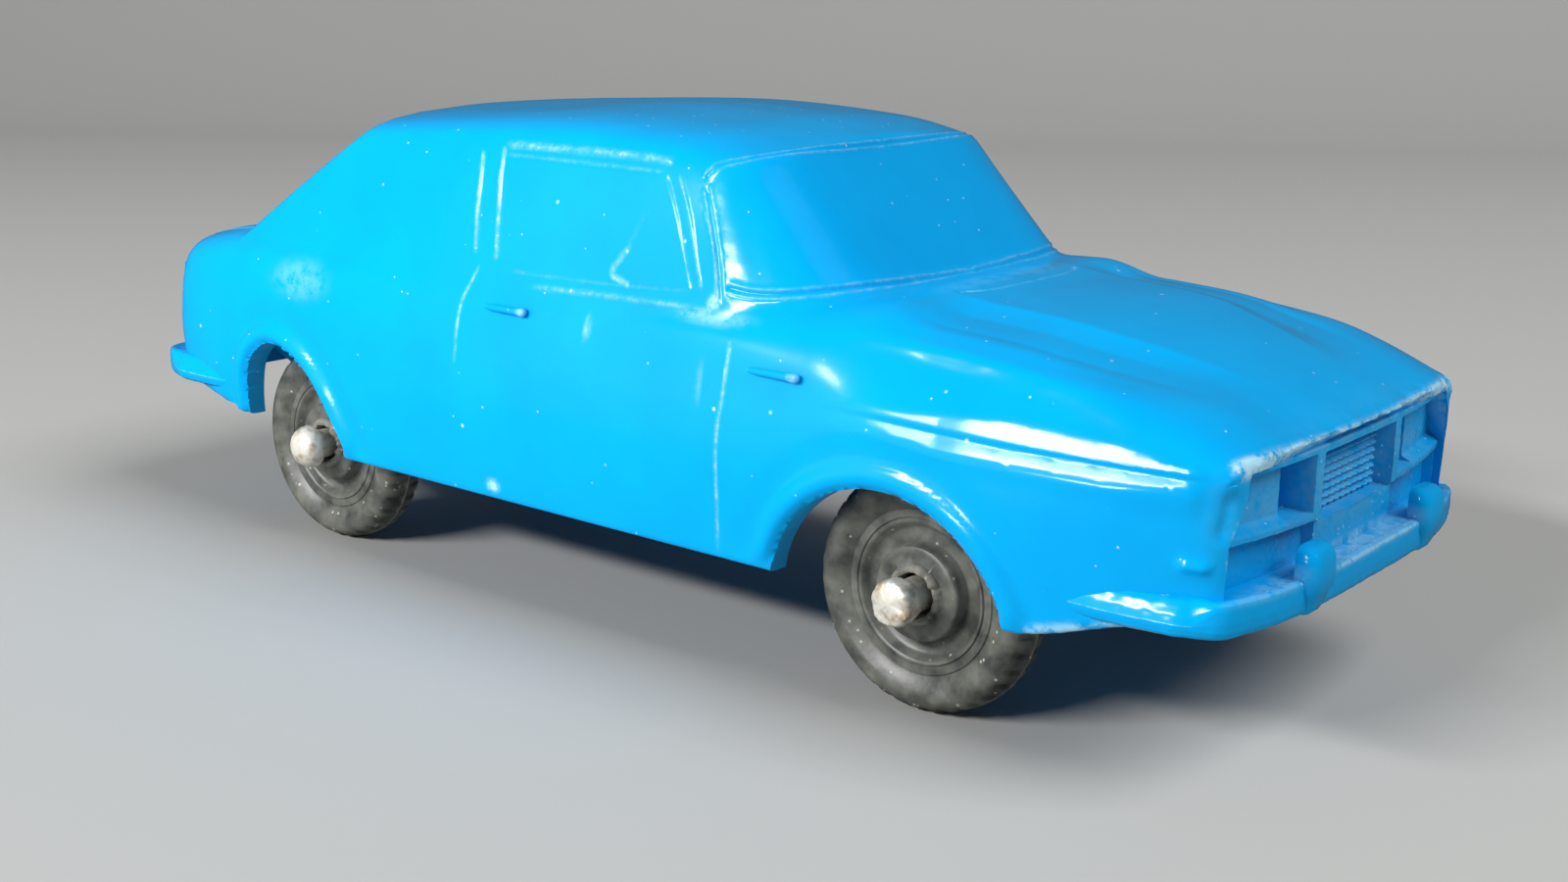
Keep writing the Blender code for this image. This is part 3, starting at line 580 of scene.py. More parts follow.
# points of the rear wheel opening, from the wheel's middle, in tyre radii
REAR_ARCH = [
    (0.55, -0.5), (0.68, -0.04), (0.49, 0.4), (0.23, 0.74), (-0.13, 0.955),
    (-0.5, 0.995), (-0.805, 0.78), (-0.92, 0.43), (-0.94, 0.025), (-0.88, -0.5),
]


def rear_arch_line():
    points = [(REAR_AXLE_X + u * TYRE_RADIUS, TYRE_RADIUS * (1 + v)) for u, v in REAR_ARCH]
    return rounded(points, 6)


def front_arch_distance(p):
    """Distance from the edge of the front wheel opening, outward."""
    return np.hypot(p[:, 0] - FRONT_ARCH_X, p[:, 2] - FRONT_ARCH_Z) - FRONT_ARCH_RADIUS


def rear_arch_distance(p):
    """Distance from the edge of the rear wheel opening, either way, where it is near."""
    line = np.array([(x, 0.0, z) for x, z in rear_arch_line()])
    near = (np.abs(p[:, 0] - REAR_AXLE_X) < 12) & (p[:, 2] < 20)
    distance = np.full(len(p), 9.0)
    distance[near] = distance_to(line, p[near] * (1, 0, 1))[0]
    return distance


def rolled_lip(distance, lip):
    """The lip's height over the skin, with the opening's own edge rounded off."""
    edge = np.exp(-(np.clip(distance, 0, None) / EDGE_REACH) ** 2)
    return np.interp(distance, LIP_AT, lip) - EDGE_ROUNDING * edge


# %% Bands over the front wing, valleys beside the hood
# place along the car with the height of the crease, and of the bands above and below it
CREASE = [(23.0, 19.6), (35.4, 19.35), (42.0, 19.2), (47.5, 19.0)]
UPPER_BAND = [(24.0, 0.3), (27.0, 0.5), (31.0, 0.9), (36.0, 1.35), (42.7, 1.05), (46.0, 0.4)]
LOWER_BAND = [(26.0, 0.8), (31.0, 1.15), (42.0, 1.1), (46.5, 0.7)]
BAND_LEAN, SHOULDER_LEAN = math.tan(math.radians(24.5)), 0.75
CREASE_DEPTH, CREASE_LOW, CREASE_HIGH = 0.12, 0.2, 0.08

# across the hood: from the middle over the straight crease and through the valley to the wing
VALLEY_Y = [0, 7.7, 8.2, 10.0, 13.0, 15.2, 17.0, 18.2]
VALLEY_OUT = [-0.30, -0.34, -0.50, -0.86, -1.00, -0.66, -0.12, 0.0]


def wing_bands(x, z):
    """Half width of the car over the front wing, and the height of the upper band's top."""
    crease, upper, lower = (np.interp(x, *zip(*table)) for table in (CREASE, UPPER_BAND, LOWER_BAND))
    above = z - crease
    in_low = BAND_LEAN * np.clip(above + lower + CREASE_LOW, 0, lower)
    in_crease = CREASE_DEPTH * np.clip(above + CREASE_LOW, 0, CREASE_LOW + CREASE_HIGH)
    in_high = BAND_LEAN * np.clip(above - CREASE_HIGH, 0, upper)
    in_shoulder = SHOULDER_LEAN * np.clip(above - CREASE_HIGH - upper, 0, None)
    target = half_width(x) - 0.1 - in_low + in_crease - in_high - in_shoulder
    return target, crease + CREASE_HIGH + upper


def broad_forms(p, n):
    """How far the skin moves out at each point, for the forms wider than a millimetre."""
    x, y, z = p.T
    across = np.abs(y)
    on_hood = ramp(x, 23.5, 28.0) * (1 - ramp(x, 38.0, 46.5)) * ramp(n[:, 2], 0.45, 0.75)
    inward = np.interp(x, [36.0, 45.0], [0.0, 2.6])
    out = on_hood * np.interp(across + inward, VALLEY_Y, VALLEY_OUT)
    flank = ramp(np.clip(n[:, 1] * np.sign(y), 0, 1), 0.55, 0.85)
    off_sill = ramp(z, SILL_Z + 0.2, SILL_Z + 1.4)
    out += flank * off_sill * rolled_lip(front_arch_distance(p), FRONT_LIP)
    out += flank * off_sill * rolled_lip(rear_arch_distance(p), REAR_LIP)
    on_wing = ramp(x, 21.0, 29.0) * (1 - ramp(x, 46.6, 47.8)) * ramp(z, 16.2, 17.8)
    target, top = wing_bands(x, z)
    press = target - across
    out += on_wing * flank * np.where(z > top, np.minimum(press, 0), press)
    lamp_pad = soft_box(across, z, 13.8, 15.3, 15.5, 20.3, 0.3)
    return out + 0.32 * lamp_pad * ramp(-n[:, 0], 0.6, 0.8)


# %% Move the skin, first for the broad forms and then for the lines
def pressed_lines(p):
    """How far the skin moves out or in for the narrow lines, and how worn it is beside them."""
    out, worn = np.zeros((2, len(p)))
    place = folded(p)
    for line, width, depth, lips, fade, rub in laid_lines:
        found = boxed(place, line, 6 * width)
        d, along, length = distance_to(line, place[found])
        ends = ramp(along, -0.01, fade) * (1 - ramp(along, length - fade, length + 0.01))
        gap = np.exp(-(d / width) ** 2)
        lip = np.exp(-((d - 2.1 * width) / (0.8 * width)) ** 2)
        out[found] += ends * (lips * lip - depth * gap)
        worn[found] = np.maximum(worn[found], rub * ends * (lip if lips else gap))
    return out, worn


def move_out(piece, amount_at, along=None):
    """Move every point by what a function of place and direction gives."""
    at, way = read(piece.data)
    amount = amount_at(at, way)
    moved = at + (way if along is None else np.array(along)) * amount[:, None]
    piece.data.vertices.foreach_set("co", moved.ravel())
    piece.data.update()
    return amount


move_out(body, broad_forms)
pressed = move_out(body, lambda at, way: pressed_lines(at)[0])
smooth(body, 1, "near_lines")
print("deepest press: %.2f mm" % pressed.min())

# %% [markdown]
# The inside is cut out last, with the same lofts drawn in by the wall, two wheel openings and the
# pocket for the front panel. The tools are joined first, so that the fine skin is cut only once.
# The hood's front lip gets a little unevenness, because its flash was trimmed off by hand.

# %% Hollow, wheel openings and front pocket
PANEL_X = NOSE_X - 0.65
PANEL_TOP_Z, LEDGE_Z = 18.85, 12.1
POCKET_HALF_WIDTH = 15.85


def prism(name, outline, axis, low, high):
    """An outline of two coordinates, extruded along X or Y."""
    def place(u, v, w):
        return (w, u, v) if axis == "X" else (u, w, v)

    return stacked(name, [[place(u, v, w) for u, v in outline] for w in (low, high)])


def roughness_at(points, size, seed):
    """Smooth noise of about -1 to 1, with lumps of the given size in mm."""
    shift = Vector((seed * 17.1, seed * 5.3, seed * 9.7))
    return np.array([noise.noise(Vector(p) / size + shift) for p in points])


def turns_of(count):
    """Angles of a full turn in even steps."""
    return np.linspace(0, 2 * math.pi, count + 1)[:-1]


def ring(centre, radius, count):
    return [(centre[0] + radius * math.cos(a), centre[1] + radius * math.sin(a)) for a in turns_of(count)]


BEYOND_BODY = 21.5
front_arch = ring((FRONT_ARCH_X, FRONT_ARCH_Z), FRONT_ARCH_RADIUS, 96)
side, floor, top = POCKET_HALF_WIDTH, LEDGE_Z - 0.2, PANEL_TOP_Z + 0.2
pocket = [(-side, floor), (side, floor), (side, 15.1), (side - 1.5, top), (1.5 - side, top), (-side, 15.1)]
cutter = lower_body("hollow", WALL + 0.25, 3.0)
boolean(cutter, cabin("cabin_hollow", WALL, 3.0), "UNION")
for name, opening in (("front_opening", front_arch), ("rear_opening", rear_arch_line())):
    boolean(cutter, prism(name, opening, "Y", -BEYOND_BODY, BEYOND_BODY), "UNION")
boolean(cutter, prism("panel_pocket", pocket, "X", PANEL_X - 2.6, NOSE_X + 2), "UNION")
boolean(body, cutter, "DIFFERENCE")


def torn_lip(at, way):
    """Small moves of the hood's front lip, and none elsewhere."""
    lip = np.flatnonzero((at[:, 0] > 47.6) & (at[:, 2] > 18.7) & (at[:, 2] < 20.3))
    torn = np.zeros(len(at))
    torn[lip] = 0.09 * roughness_at(at[lip], 0.45, 6) + 0.07 * roughness_at(at[lip], 1.3, 7)
    return torn * ramp(at[:, 0] + 0.0045 * at[:, 1] ** 2, 49.0, 49.7)


move_out(body, torn_lip)
print("body: %d faces" % len(body.data.polygons))

# %% [markdown]
# The front panel is a shallow relief: lamps and air slots sunk behind a flush frame, and a grille
# of fine ribs between two dividers. A toolmaker cuts such a relief as depths over a flat face, so
# it is made that way here: a fine grid, pushed back by the depth of each form. The walls get the
# slight slope that lets a mould open.


# %% Front panel with its grille
def panel_depth(y, z):
    across = np.abs(y)
    lamp_edge = 14.5 + 1.5 * np.clip((18.7 - z) / 3.6, 0, 1)
    sill = 15.05 + 0.035 * (across - 9.0)
    lamp = ramp(across, 9.0, 9.12) * (1 - ramp(across, lamp_edge, lamp_edge + 0.2))
    lamp = lamp * ramp(z, sill, sill + 0.55) * (1 - ramp(z, 18.55, 18.7))
    slot = soft_box(across, z, 6.45, 9.05, 15.25, 18.6, 0.12)
    grille = soft_box(across, z, -1.0, 5.15, 14.55, 18.5, 0.12)
    sunk = np.maximum(0.8 * lamp, np.maximum(2.6 * slot, 1.3 * grille))
    ribs = 0.5 + 0.5 * np.cos(2 * np.pi * (z - 14.8) / 0.5)
    bars = 0.5 + 0.5 * np.cos(2 * np.pi * y / 0.86)
    ribbed = soft_box(across, z, -1.0, 4.75, 14.6, 18.35, 0.15)
    sunk -= ribbed * (0.32 * ribs + 0.12 * bars)
    foot = 1 - ramp(z, 14.3 + 0.03 * across, 14.5 + 0.03 * across)
    sunk += foot * (0.2 + 0.65 * ramp(across, 5.7, 5.85) * (1 - ramp(across, 15.3, 15.45)))
    back = 1.1 * (across / POCKET_HALF_WIDTH) ** 3
    return PANEL_X - sunk - back


def relief_block(name, across, up, depth, back):
    """A closed block whose front is a fine grid at the given depths."""
    y, z = np.meshgrid(across, up)
    rows, cols = y.shape
    front = np.stack([depth(y, z), y, z], axis=-1).reshape(-1, 3)
    at = np.arange(rows * cols).reshape(rows, cols)
    quads = np.stack([at[:-1, :-1], at[:-1, 1:], at[1:, 1:], at[1:, :-1]], axis=-1).reshape(-1, 4)
    rim = np.concatenate([at[0, :-1], at[:-1, -1], at[-1, :0:-1], at[:0:-1, 0]])
    behind = front[rim].copy()
    behind[:, 0] = back
    first = rows * cols
    count = len(rim)
    walls = [(rim[i], first + i, first + (i + 1) % count, rim[(i + 1) % count]) for i in range(count)]
    faces = quads.tolist() + [tuple(int(i) for i in w) for w in walls]
    faces.append(tuple(range(first, first + count)))
    piece = new_piece(name, np.vstack([front, behind]), faces)
    face_out(piece)
    return piece


grain = 1
panel = relief_block(
    "front_panel", np.linspace(-15.95, 15.95, 330 // grain),
    np.linspace(LEDGE_Z - 0.1, PANEL_TOP_Z + 0.25, 100 // grain), panel_depth, PANEL_X - 3.4,
)
def cut_marks(at, way):
    """Fine unevenness of the relief, none on its flat back."""
    rough = 0.03 * roughness_at(at, 0.35, 1) + 0.03 * roughness_at(at, 1.4, 2)
    return rough * (at[:, 0] >= PANEL_X - 3.3)


move_out(panel, cut_marks, along=(1.0, 0.0, 0.0))
print("front panel: %d faces" % len(panel.data.polygons))

# %% [markdown]
# The bumpers are one rounded section carried round the end of the body, standing proud at the
# front and sinking into the wings at the sides. The real ones are part of the moulding, with a
# level ledge on top where dust collects.


# %% Bumpers
def bumper_path(end_x, facing, proud):
    """Plan line of the bumper's outer face, from one wing round the end to the other."""
    half = float(half_width(end_x)) + 1.1
    front = end_x + facing * proud
    line = [(front - facing * 2.1 * s ** 4, half * s) for s in (0.0, 0.3, 0.55, 0.75, 0.87, 0.93)]
    line += [(front - facing * back, half * s) for back, s in ((2.1, 0.968), (2.8, 0.992))]
    for back, out in ((3.2, 0.60), (4.6, 0.42), (6.6, 0.16), (8.6, -0.12), (10.5, -0.5)):
        x = end_x - facing * back
        line.append((x, float(half_width(x)) + out))
    line = rounded([(x, y, 0.0) for x, y in line], 8)[:, :2]
    right = line * (1, -facing)
    return np.vstack([right[::-1], (line * (1, facing))[1:]])


def carried(name, path, section_at):
    """Sections of (out, up) points carried along a level path, closed at both ends."""
    ahead = np.gradient(path, axis=0)
    ahead /= np.linalg.norm(ahead, axis=1)[:, None]
    out = np.column_stack([ahead[:, 1], -ahead[:, 0]])
    return stacked(name, [[(*(p + n * o), z) for o, z in section_at(p)] for p, n in zip(path, out)])


def bumper_section(level, corner_x, facing):
    """Square-edged across the end of the car, and rolled over along the wings."""
    low, high = level - 1.1, level + 1.1
    square = np.array([
        (-2.6, high), (-0.75, high), (-0.5, high + 0.07), (-0.2, high + 0.05), (-0.05, high - 0.08),
        (0.0, high - 0.3), (0.02, level), (-0.04, low + 0.5), (-0.18, low + 0.2), (-0.45, low + 0.02),
        (-0.9, low), (-2.6, low),
    ])
    rolled = np.array([
        (-2.6, high + 0.3), (-1.1, high + 0.12), (-0.62, high - 0.02), (-0.44, high - 0.26),
        (-0.16, high - 0.81), (0.0, high - 1.25), (0.02, level - 0.2), (-0.04, low + 0.6),
        (-0.18, low + 0.25), (-0.45, low + 0.05), (-0.9, low), (-2.6, low),
    ])

    def section_at(p):
        t = float(ramp(facing * (corner_x - p[0]), 0.9, 2.6))
        return square * (1 - t) + rolled * t

    return section_at


def bumper(name, end_x, facing, proud, level):
    """One bumper, its middle at the level, standing proud of the end of the body."""
    piece = carried(name, bumper_path(end_x, facing, proud), bumper_section(level, end_x, facing))
    split = piece.modifiers.new("Fine", "SUBSURF")
    split.subdivision_type, split.levels = "SIMPLE", 2
    apply_modifiers(piece)
    move_out(piece, lambda at, way: 0.03 * roughness_at(at, 0.7, 2) - 0.02)
    return piece


front_bumper = bumper("front_bumper", NOSE_X, 1, 0.88, 11.0)
rear_bumper = bumper("rear_bumper", TAIL_X, -1, 1.98, 12.0)
print("bumpers:", len(front_bumper.data.polygons), len(rear_bumper.data.polygons))

# %% Overriders on the front bumper
OVERRIDER_BACK_X, OVERRIDER_Y = 50.0, 8.35

# height, front face, half width
OVERRIDER_LEVELS = [
    (9.9, 50.4, 0.9), (9.98, 50.7, 1.12), (10.5, 51.0, 1.26), (11.15, 51.18, 1.34),
    (11.5, 51.38, 1.52), (12.4, 51.42, 1.6), (13.2, 51.38, 1.58), (13.7, 51.22, 1.48),
    (13.98, 50.95, 1.26), (14.07, 50.6, 0.9),
]


def overrider(side):
    rings = []
    for z, front, half in OVERRIDER_LEVELS:
        corner = min(0.7, 0.7 * (front - OVERRIDER_BACK_X), 0.8 * half)
        arc = [(front - corner + corner * math.cos(a), half - corner + corner * math.sin(a))
               for a in np.linspace(0, math.pi / 2, 7)]
        right = arc + [(OVERRIDER_BACK_X, half * 0.95)]
        plan = right + [(x, -y) for x, y in reversed(right)]
        rings.append([(x, y + side * OVERRIDER_Y, z) for x, y in plan])
    return stacked("overrider", rings)


overriders = merge("overriders", [overrider(-1), overrider(1)])
print("overriders: %d faces" % len(overriders.data.polygons))

# %% [markdown]
# Four short pull bars stand half out of the doors and wings. Each is a thin rod that ends in a
# small bead, so it is turned from a line of radii.

# %% Pull bars
def turned_along(name, line, centre, axis, steps):
    """A form turned about X or Y from (distance, radius) points along its axis."""
    rings = []
    for d, r in line:
        a, b = r * np.cos(turns_of(steps)), r * np.sin(turns_of(steps))
        along = np.full(steps, d)
        rings.append(np.column_stack([along, a, b] if axis == "X" else [a, along, b]) + centre)
    return stacked(name, rings)


BAR_Y, BAR_STEPS = 18.62, 20
# distance behind the front axle, height
BAR_PLACES = [(9.4, 20.9), (33.6, 22.0)]
# distance along the bar, radius
BAR_LINE = [
    (-2.3, 0.05), (-2.2, 0.12), (-1.9, 0.2), (-1.4, 0.24), (1.0, 0.27), (1.2, 0.26),
    (1.35, 0.29), (1.55, 0.32), (1.75, 0.29), (1.88, 0.18), (1.92, 0.05),
]
bars = []
for back, height in BAR_PLACES:
    for side in (-1, 1):
        centre = np.array([FRONT_AXLE_X - back, side * BAR_Y, height])
        bars.append(turned_along("bar", BAR_LINE, centre, "X", BAR_STEPS))
pull_bars = merge("pull_bars", bars)
print("pull bars: %d faces" % len(pull_bars.data.polygons))

# %% [markdown]
# Under the deck, four webs carry the axles. They are seen through the wheel openings and from
# below. Their edges are broken a little, as on any moulding.

# %% Webs that hold the axles
TYRE_OUTER_Y, HUB_LENGTH = 15.95, 4.9
WEB_OUTER_Y = TYRE_OUTER_Y + 0.2 - HUB_LENGTH - 0.4
WEB_THICKNESS, AXLE_HOLE_RADIUS, BROKEN_EDGE = 2.2, 1.35, 0.22


def web_outline(axle_x, facing, end):
    low = TYRE_RADIUS - 2.6
    deck = float(deck_height(axle_x + facing * 8.0)) - 1.35
    return [
        (axle_x - facing * 4.2, low), (axle_x + facing * 4.2, low),
        (axle_x + facing * 5.7, low + 4.5), (end, 14.7), (end, BOOT_EDGE_Z - 4.0),
        (axle_x + facing * 8.0, deck), (axle_x + facing * 3.0, deck),
        (axle_x - facing * 4.2, low + 6.5),
    ]


webs = []
for axle_x, facing, end in ((FRONT_AXLE_X, 1, NOSE_X - 3.2), (REAR_AXLE_X, -1, TAIL_X + 2.1)):
    for side in (-1, 1):
        edges = sorted((side * WEB_OUTER_Y, side * (WEB_OUTER_Y - WEB_THICKNESS)))
        web = prism("web", web_outline(axle_x, facing, end), "Y", *edges)
        hole = ring((axle_x, TYRE_RADIUS), AXLE_HOLE_RADIUS, 48)
        boolean(web, prism("hole", hole, "Y", edges[0] - 1, edges[1] + 1), "DIFFERENCE")
        edge = web.modifiers.new("Edges", "BEVEL")
        edge.width, edge.segments, edge.limit_method = BROKEN_EDGE, 2, "ANGLE"
        apply_modifiers(web)
        webs.append(web)
axle_webs = merge("axle_webs", webs)
print("webs: %d faces" % len(axle_webs.data.polygons))

# %% [markdown]
# A wheel is one moulding too: a tyre with two fine rings on its side, a dished rim and a flat hub
# whose hole was punched and left a ragged collar. The profile is turned in many steps, and each
# ring of points is then pushed in or out with the angle, which gives the tread its notches and
# the collar its torn edge.

# %% Wheels
TREAD_NOTCHES, NOTCH_DEPTH = 38, 0.24
WHEEL_STEPS = TREAD_NOTCHES * 8

# radius, distance out from the tyre's outer side, torn edge and tread where there are any
WHEEL_PROFILE = [
    (1.36, -0.60), (1.40, 0.10, 1), (1.50, 0.44, 1), (1.70, 0.50, 1), (1.88, 0.34, 1),
    (2.02, 0.14), (2.60, 0.10), (2.95, 0.09), (3.06, 0.0), (3.12, -0.20), (3.16, -0.92),
    (3.24, -1.00), (3.60, -1.00), (4.00, -0.92), (4.20, -0.74), (4.42, -0.42), (4.56, -0.31),
    (4.68, -0.30), (4.76, -0.42), (4.84, -0.31), (5.05, -0.31), (5.30, -0.31), (5.38, -0.40),
    (5.46, -0.33), (5.85, -0.12), (6.20, 0.07), (6.60, 0.17), (7.00, 0.12), (7.38, -0.1),
    (7.66, -0.42, 0, 0.3), (7.82, -0.76, 0, 1), (7.88, -1.15, 0, 1), (7.90, -1.52, 0, 0.5),
    (7.90, -1.66), (7.95, -1.72), (7.90, -1.78), (7.90, -2.0, 0, 0.5), (7.87, -2.5, 0, 1),
    (7.72, -2.85, 0, 1), (7.50, -3.2, 0, 0.5), (6.9, -3.45), (6.2, -3.5), (5.1, -3.5),
    (3.3, -2.7), (3.05, -2.9), (2.75, -4.6), (2.6, -4.7), (1.4, -4.7), (1.30, -4.6),
]


def wheel(name, axle_x, side, seed):
    turns = turns_of(WHEEL_STEPS)
    notch = ramp(np.cos(turns * TREAD_NOTCHES), 0.1, 0.6)
    torn = np.array([
        noise.noise(Vector((math.cos(a), math.sin(a), seed)) * 1.6)
        + 0.5 * noise.noise(Vector((math.cos(a), math.sin(a), seed + 5)) * 5.0) for a in turns
    ])
    rings = []
    for radius, out, *marks in WHEEL_PROFILE:
        tear, tread = (*marks, 0, 0)[:2]
        r = radius - NOTCH_DEPTH * tread * notch - 0.12 * tear * np.clip(-torn, 0, 1)
        y = side * (TYRE_OUTER_Y + out + 0.42 * tear * torn)
        rings.append(np.column_stack([axle_x + r * np.cos(turns), y, TYRE_RADIUS + r * np.sin(turns)]))
    faces = tube_faces(len(rings), WHEEL_STEPS, endless=True)
    piece = new_piece(name, np.vstack(rings), faces)
    face_out(piece)
    return piece


wheels = {}
for seed, (end, axle_x) in enumerate((("front", FRONT_AXLE_X), ("rear", REAR_AXLE_X))):
    for side, label in ((-1, "right"), (1, "left")):
        name = "wheel_%s_%s" % (end, label)
        wheels[name] = wheel("tyre_%s_%s" % (end, label), axle_x, side, seed * 7 + side + 3)
print("faces in one wheel: %d" % len(wheels[name].data.polygons))

# %% [markdown]
# Each axle is a length of steel wire. One end came with a domed head, and the other was peened
# over after the wheels were on, which leaves it flatter, narrower and rough.

# %% Axles
# distance along the wire, radius, and how hammered it is where it isn't smooth
AXLE_PROFILE = [
    (19.08, 0.05), (19.07, 0.35), (19.02, 0.68), (18.9, 1.02), (18.7, 1.3), (18.4, 1.52),
    (18.05, 1.66), (17.75, 1.69), (17.58, 1.66), (17.5, 1.5), (17.5, 1.18), (17.4, 1.15),
    (-17.1, 1.15), (-17.25, 1.25, 0.3), (-17.4, 1.42, 0.5), (-17.6, 1.52, 0.8), (-18.0, 1.56, 1),
    (-18.4, 1.57, 1), (-18.7, 1.52, 1), (-18.88, 1.4, 1), (-18.96, 1.2, 1), (-19.0, 0.9, 0.9),
    (-19.02, 0.5, 0.8), (-19.02, 0.05, 0.7),
]
AXLE_STEPS = 96


def axle(name, axle_x, domed_side):
    line = [(along * domed_side, radius) for along, radius, *_ in AXLE_PROFILE]
    piece = turned_along(name, line, np.array([axle_x, 0.0, TYRE_RADIUS]), "Y", AXLE_STEPS)
    hammered = np.repeat([sum(marks) for _, _, *marks in AXLE_PROFILE], AXLE_STEPS)

    def dents(at, way):
        depth = 0.14 * roughness_at(at, 0.8, 4) + 0.07 * roughness_at(at, 0.33, 5) - 0.06
        return depth * (0.12 + 0.88 * hammered) - 0.01

    move_out(piece, dents)
    face_out(piece)
    return piece


axles = {
    "front_axle": axle("steel_axle_front", FRONT_AXLE_X, 1),
    "rear_axle": axle("steel_axle_rear", REAR_AXLE_X, -1),
}
print("faces in one axle: %d" % len(axles["front_axle"].data.polygons))

# %% [markdown]
# Handled vinyl goes pale where it is rubbed: on the lips beside window lines and on every raised
# edge. Dust sits in corners. Both follow from the shape, so each piece measures how sharply its
# surface bends at every point and stores it with the mesh, where the material can read it.


# %% Rubbed edges and dusty corners, measured from the mesh
def bend_of(mesh):
    """Mean bend at each point in 1/mm: positive on an edge, negative in a corner."""
    at, way = read(mesh)
    ends = np.empty(len(mesh.edges) * 2, int)
    mesh.edges.foreach_get("vertices", ends)
    a, b = ends.reshape(-1, 2).T
    along = at[b] - at[a]
    length = np.maximum((along ** 2).sum(axis=1), 1e-4)
    bend = ((way[b] - way[a]) * along).sum(axis=1) / length
    total, count = np.zeros((2, len(at)))
    for end in (a, b):
        np.add.at(total, end, bend)
        np.add.at(count, end, 1)
    return total / np.maximum(count, 1)


def store(mesh, name, values):
    layer = mesh.attributes.new(name, "FLOAT", "POINT")
    layer.data.foreach_set("value", values.astype(np.float32))


# %% Where the body is rubbed, where a highlight is painted, and where dust has settled
# place on the right side, half sizes, strength
RUBBED = [
    ((-29.0, -17.8, 21.4), (3.2, 3.0, 1.4), 0.2), ((12.4, -17.3, 24.4), (0.45, 1.5, 0.6), 0.9),
    ((-7.1, -19.3, 9.0), (0.6, 2.0, 0.45), 0.9), ((23.7, -3.0, 25.6), (1.2, 5.0, 0.8), 0.1),
    ((2.2, -19.0, 21.7), (0.22, 2.0, 0.9), 0.5), ((12.5, -19.2, 19.6), (0.15, 2.0, 1.7), 0.5),
    ((48.4, 0.0, 16.8), (1.6, 14.4, 3.2), 0.14), ((49.8, 0.0, 12.2), (1.3, 16.0, 0.5), 0.4),
    ((12.5, -17.3, 23.6), (2.8, 2.0, 0.5), 0.32),
]
DUSTY = [((48.4, 0.0, 15.6), (1.9, 15.6, 3.5), 1.0), ((50.0, 0.0, 12.2), (1.3, 16.2, 0.7), 1.0)]

# points, half width, strength
RUBBED_AND_HIGHLIT_LINES = [
    ([(FRONT_AXLE_X - 7.9, -18.9, 20.9), (FRONT_AXLE_X - 7.7, -18.9, 20.9)], 0.35, 0.7),
    ([(FRONT_AXLE_X - 32.1, -18.9, 22.0), (FRONT_AXLE_X - 31.9, -18.9, 22.0)], 0.35, 0.5),
    ([(49.0, -15.3, 19.55), (49.4, -12.5, 19.5), (49.95, -6.0, 19.4), (50.05, 0.0, 19.3)], 0.6, 1.4),
    ([(5.5, -15.9, 29.4), (4.4, -16.6, 27.0), (3.3, -17.1, 25.4), (4.9, -17.2, 24.8)], 0.22, 0.45),
    ([(6.3, -19.0, 21.2), (8.4, -18.7, 22.4)], 0.16, 0.5),
    # painted highlight: a pale line along the lower edge of each front wing, ahead of the wheel opening
    ([(x, 0.5 - half_width(x), lower_edge(x) + 0.2) for x in (38.0, 41.0, 44.0, 46.5)], 0.5, 0.75),
    ([(-20.5, -19.3, 7.95), (10.0, -19.3, 7.95)], 0.14, 0.5),
    ([(20.8, -6.5, 25.75), (20.9, -5.0, 25.8), (21.1, 0.0, 25.8)], 0.16, 0.8),
    ([(50.9, -16.5, 12.1), (50.95, -9.0, 12.1), (50.95, 0.0, 12.1)], 0.25, 0.55),
]


def patches(place, table):
    """The strongest of some soft oval patches at each place."""
    most = np.zeros(len(place))
    for middle, half, strength in table:
        q = ((place - middle) / half) ** 2
        most = np.maximum(most, strength * np.exp(-q.sum(axis=1) ** 2))
    return most


def rubbed_and_highlit(place):
    most = patches(place, RUBBED)
    # the lines hold rubbed wear, and one painted highlight along each front wing's lower edge
    for points, width, strength in RUBBED_AND_HIGHLIT_LINES:
        d, _, _ = distance_to(rounded(points, 8), place)
        most = np.maximum(most, strength * np.exp(-(d / width) ** 4))
    return most


# %% Store what was measured
body_pieces = [body, panel, front_bumper, rear_bumper, overriders, pull_bars, axle_webs]
for piece in body_pieces:
    bend = bend_of(piece.data)
    at = read(piece.data)[0]
    edge = 0.8 * ramp(bend, 2.5, 7.0) * (0.3 if piece is pull_bars else 1.0)
    if piece is body:
        edge = np.maximum(0.5 * edge * (at[:, 0] > 45), pressed_lines(at)[1])
        settled = 0.25 * ramp(at[:, 2], 34.0, 35.4)
    else:
        sunk = PANEL_X - 1.1 * (np.abs(at[:, 1]) / POCKET_HALF_WIDTH) ** 3 - at[:, 0]
        settled = np.maximum(0.5 * ramp(-bend, 0.8, 3.0), patches(folded(at), DUSTY))
        settled = settled * (1 - ramp(sunk, 1.4, 2.2))
    store(piece.data, "edge", edge)
    store(piece.data, "dusty", settled)
    # pale marks: rubbed wear, and a painted highlight along each front wing's lower edge
    store(piece.data, "rubbed_and_highlit", rubbed_and_highlit(folded(at)))
for piece in wheels.values():
    out = np.abs(read(piece.data)[0][:, 1]) - TYRE_OUTER_Y
    tread_line = np.exp(-((out + 1.72) / 0.05) ** 2)
    store(piece.data, "edge", np.maximum(ramp(out, 0.16, 0.5), tread_line))
print("measured the edges of %d pieces" % (len(body_pieces) + len(wheels)))

# %% [markdown]
# The materials come next. A small function adds a node, gives it its settings and links it to
# what feeds it, and a few short ones name the nodes that come again and again. Colours are
# written as sRGB hex values, as a paint card would give them, and patterns by how many of their
# cells lie in a millimetre.

# %% Node and colour helpers
PER_MM = 1 / MM


def feed(tree, node, inputs):
    """Set a node's inputs by name or number, each to a value or to another node's output."""
    for key, value in inputs.items():
        if isinstance(value, bpy.types.NodeSocket):
            tree.links.new(value, node.inputs[key])
        else:
            node.inputs[key].default_value = value


def add(tree, kind, inputs, **settings):
    """Add a node with its settings and inputs."""
    made = tree.nodes.new("ShaderNode" + kind)
    for key, value in settings.items():
        setattr(made, key, value)
    feed(tree, made, inputs)
    return made


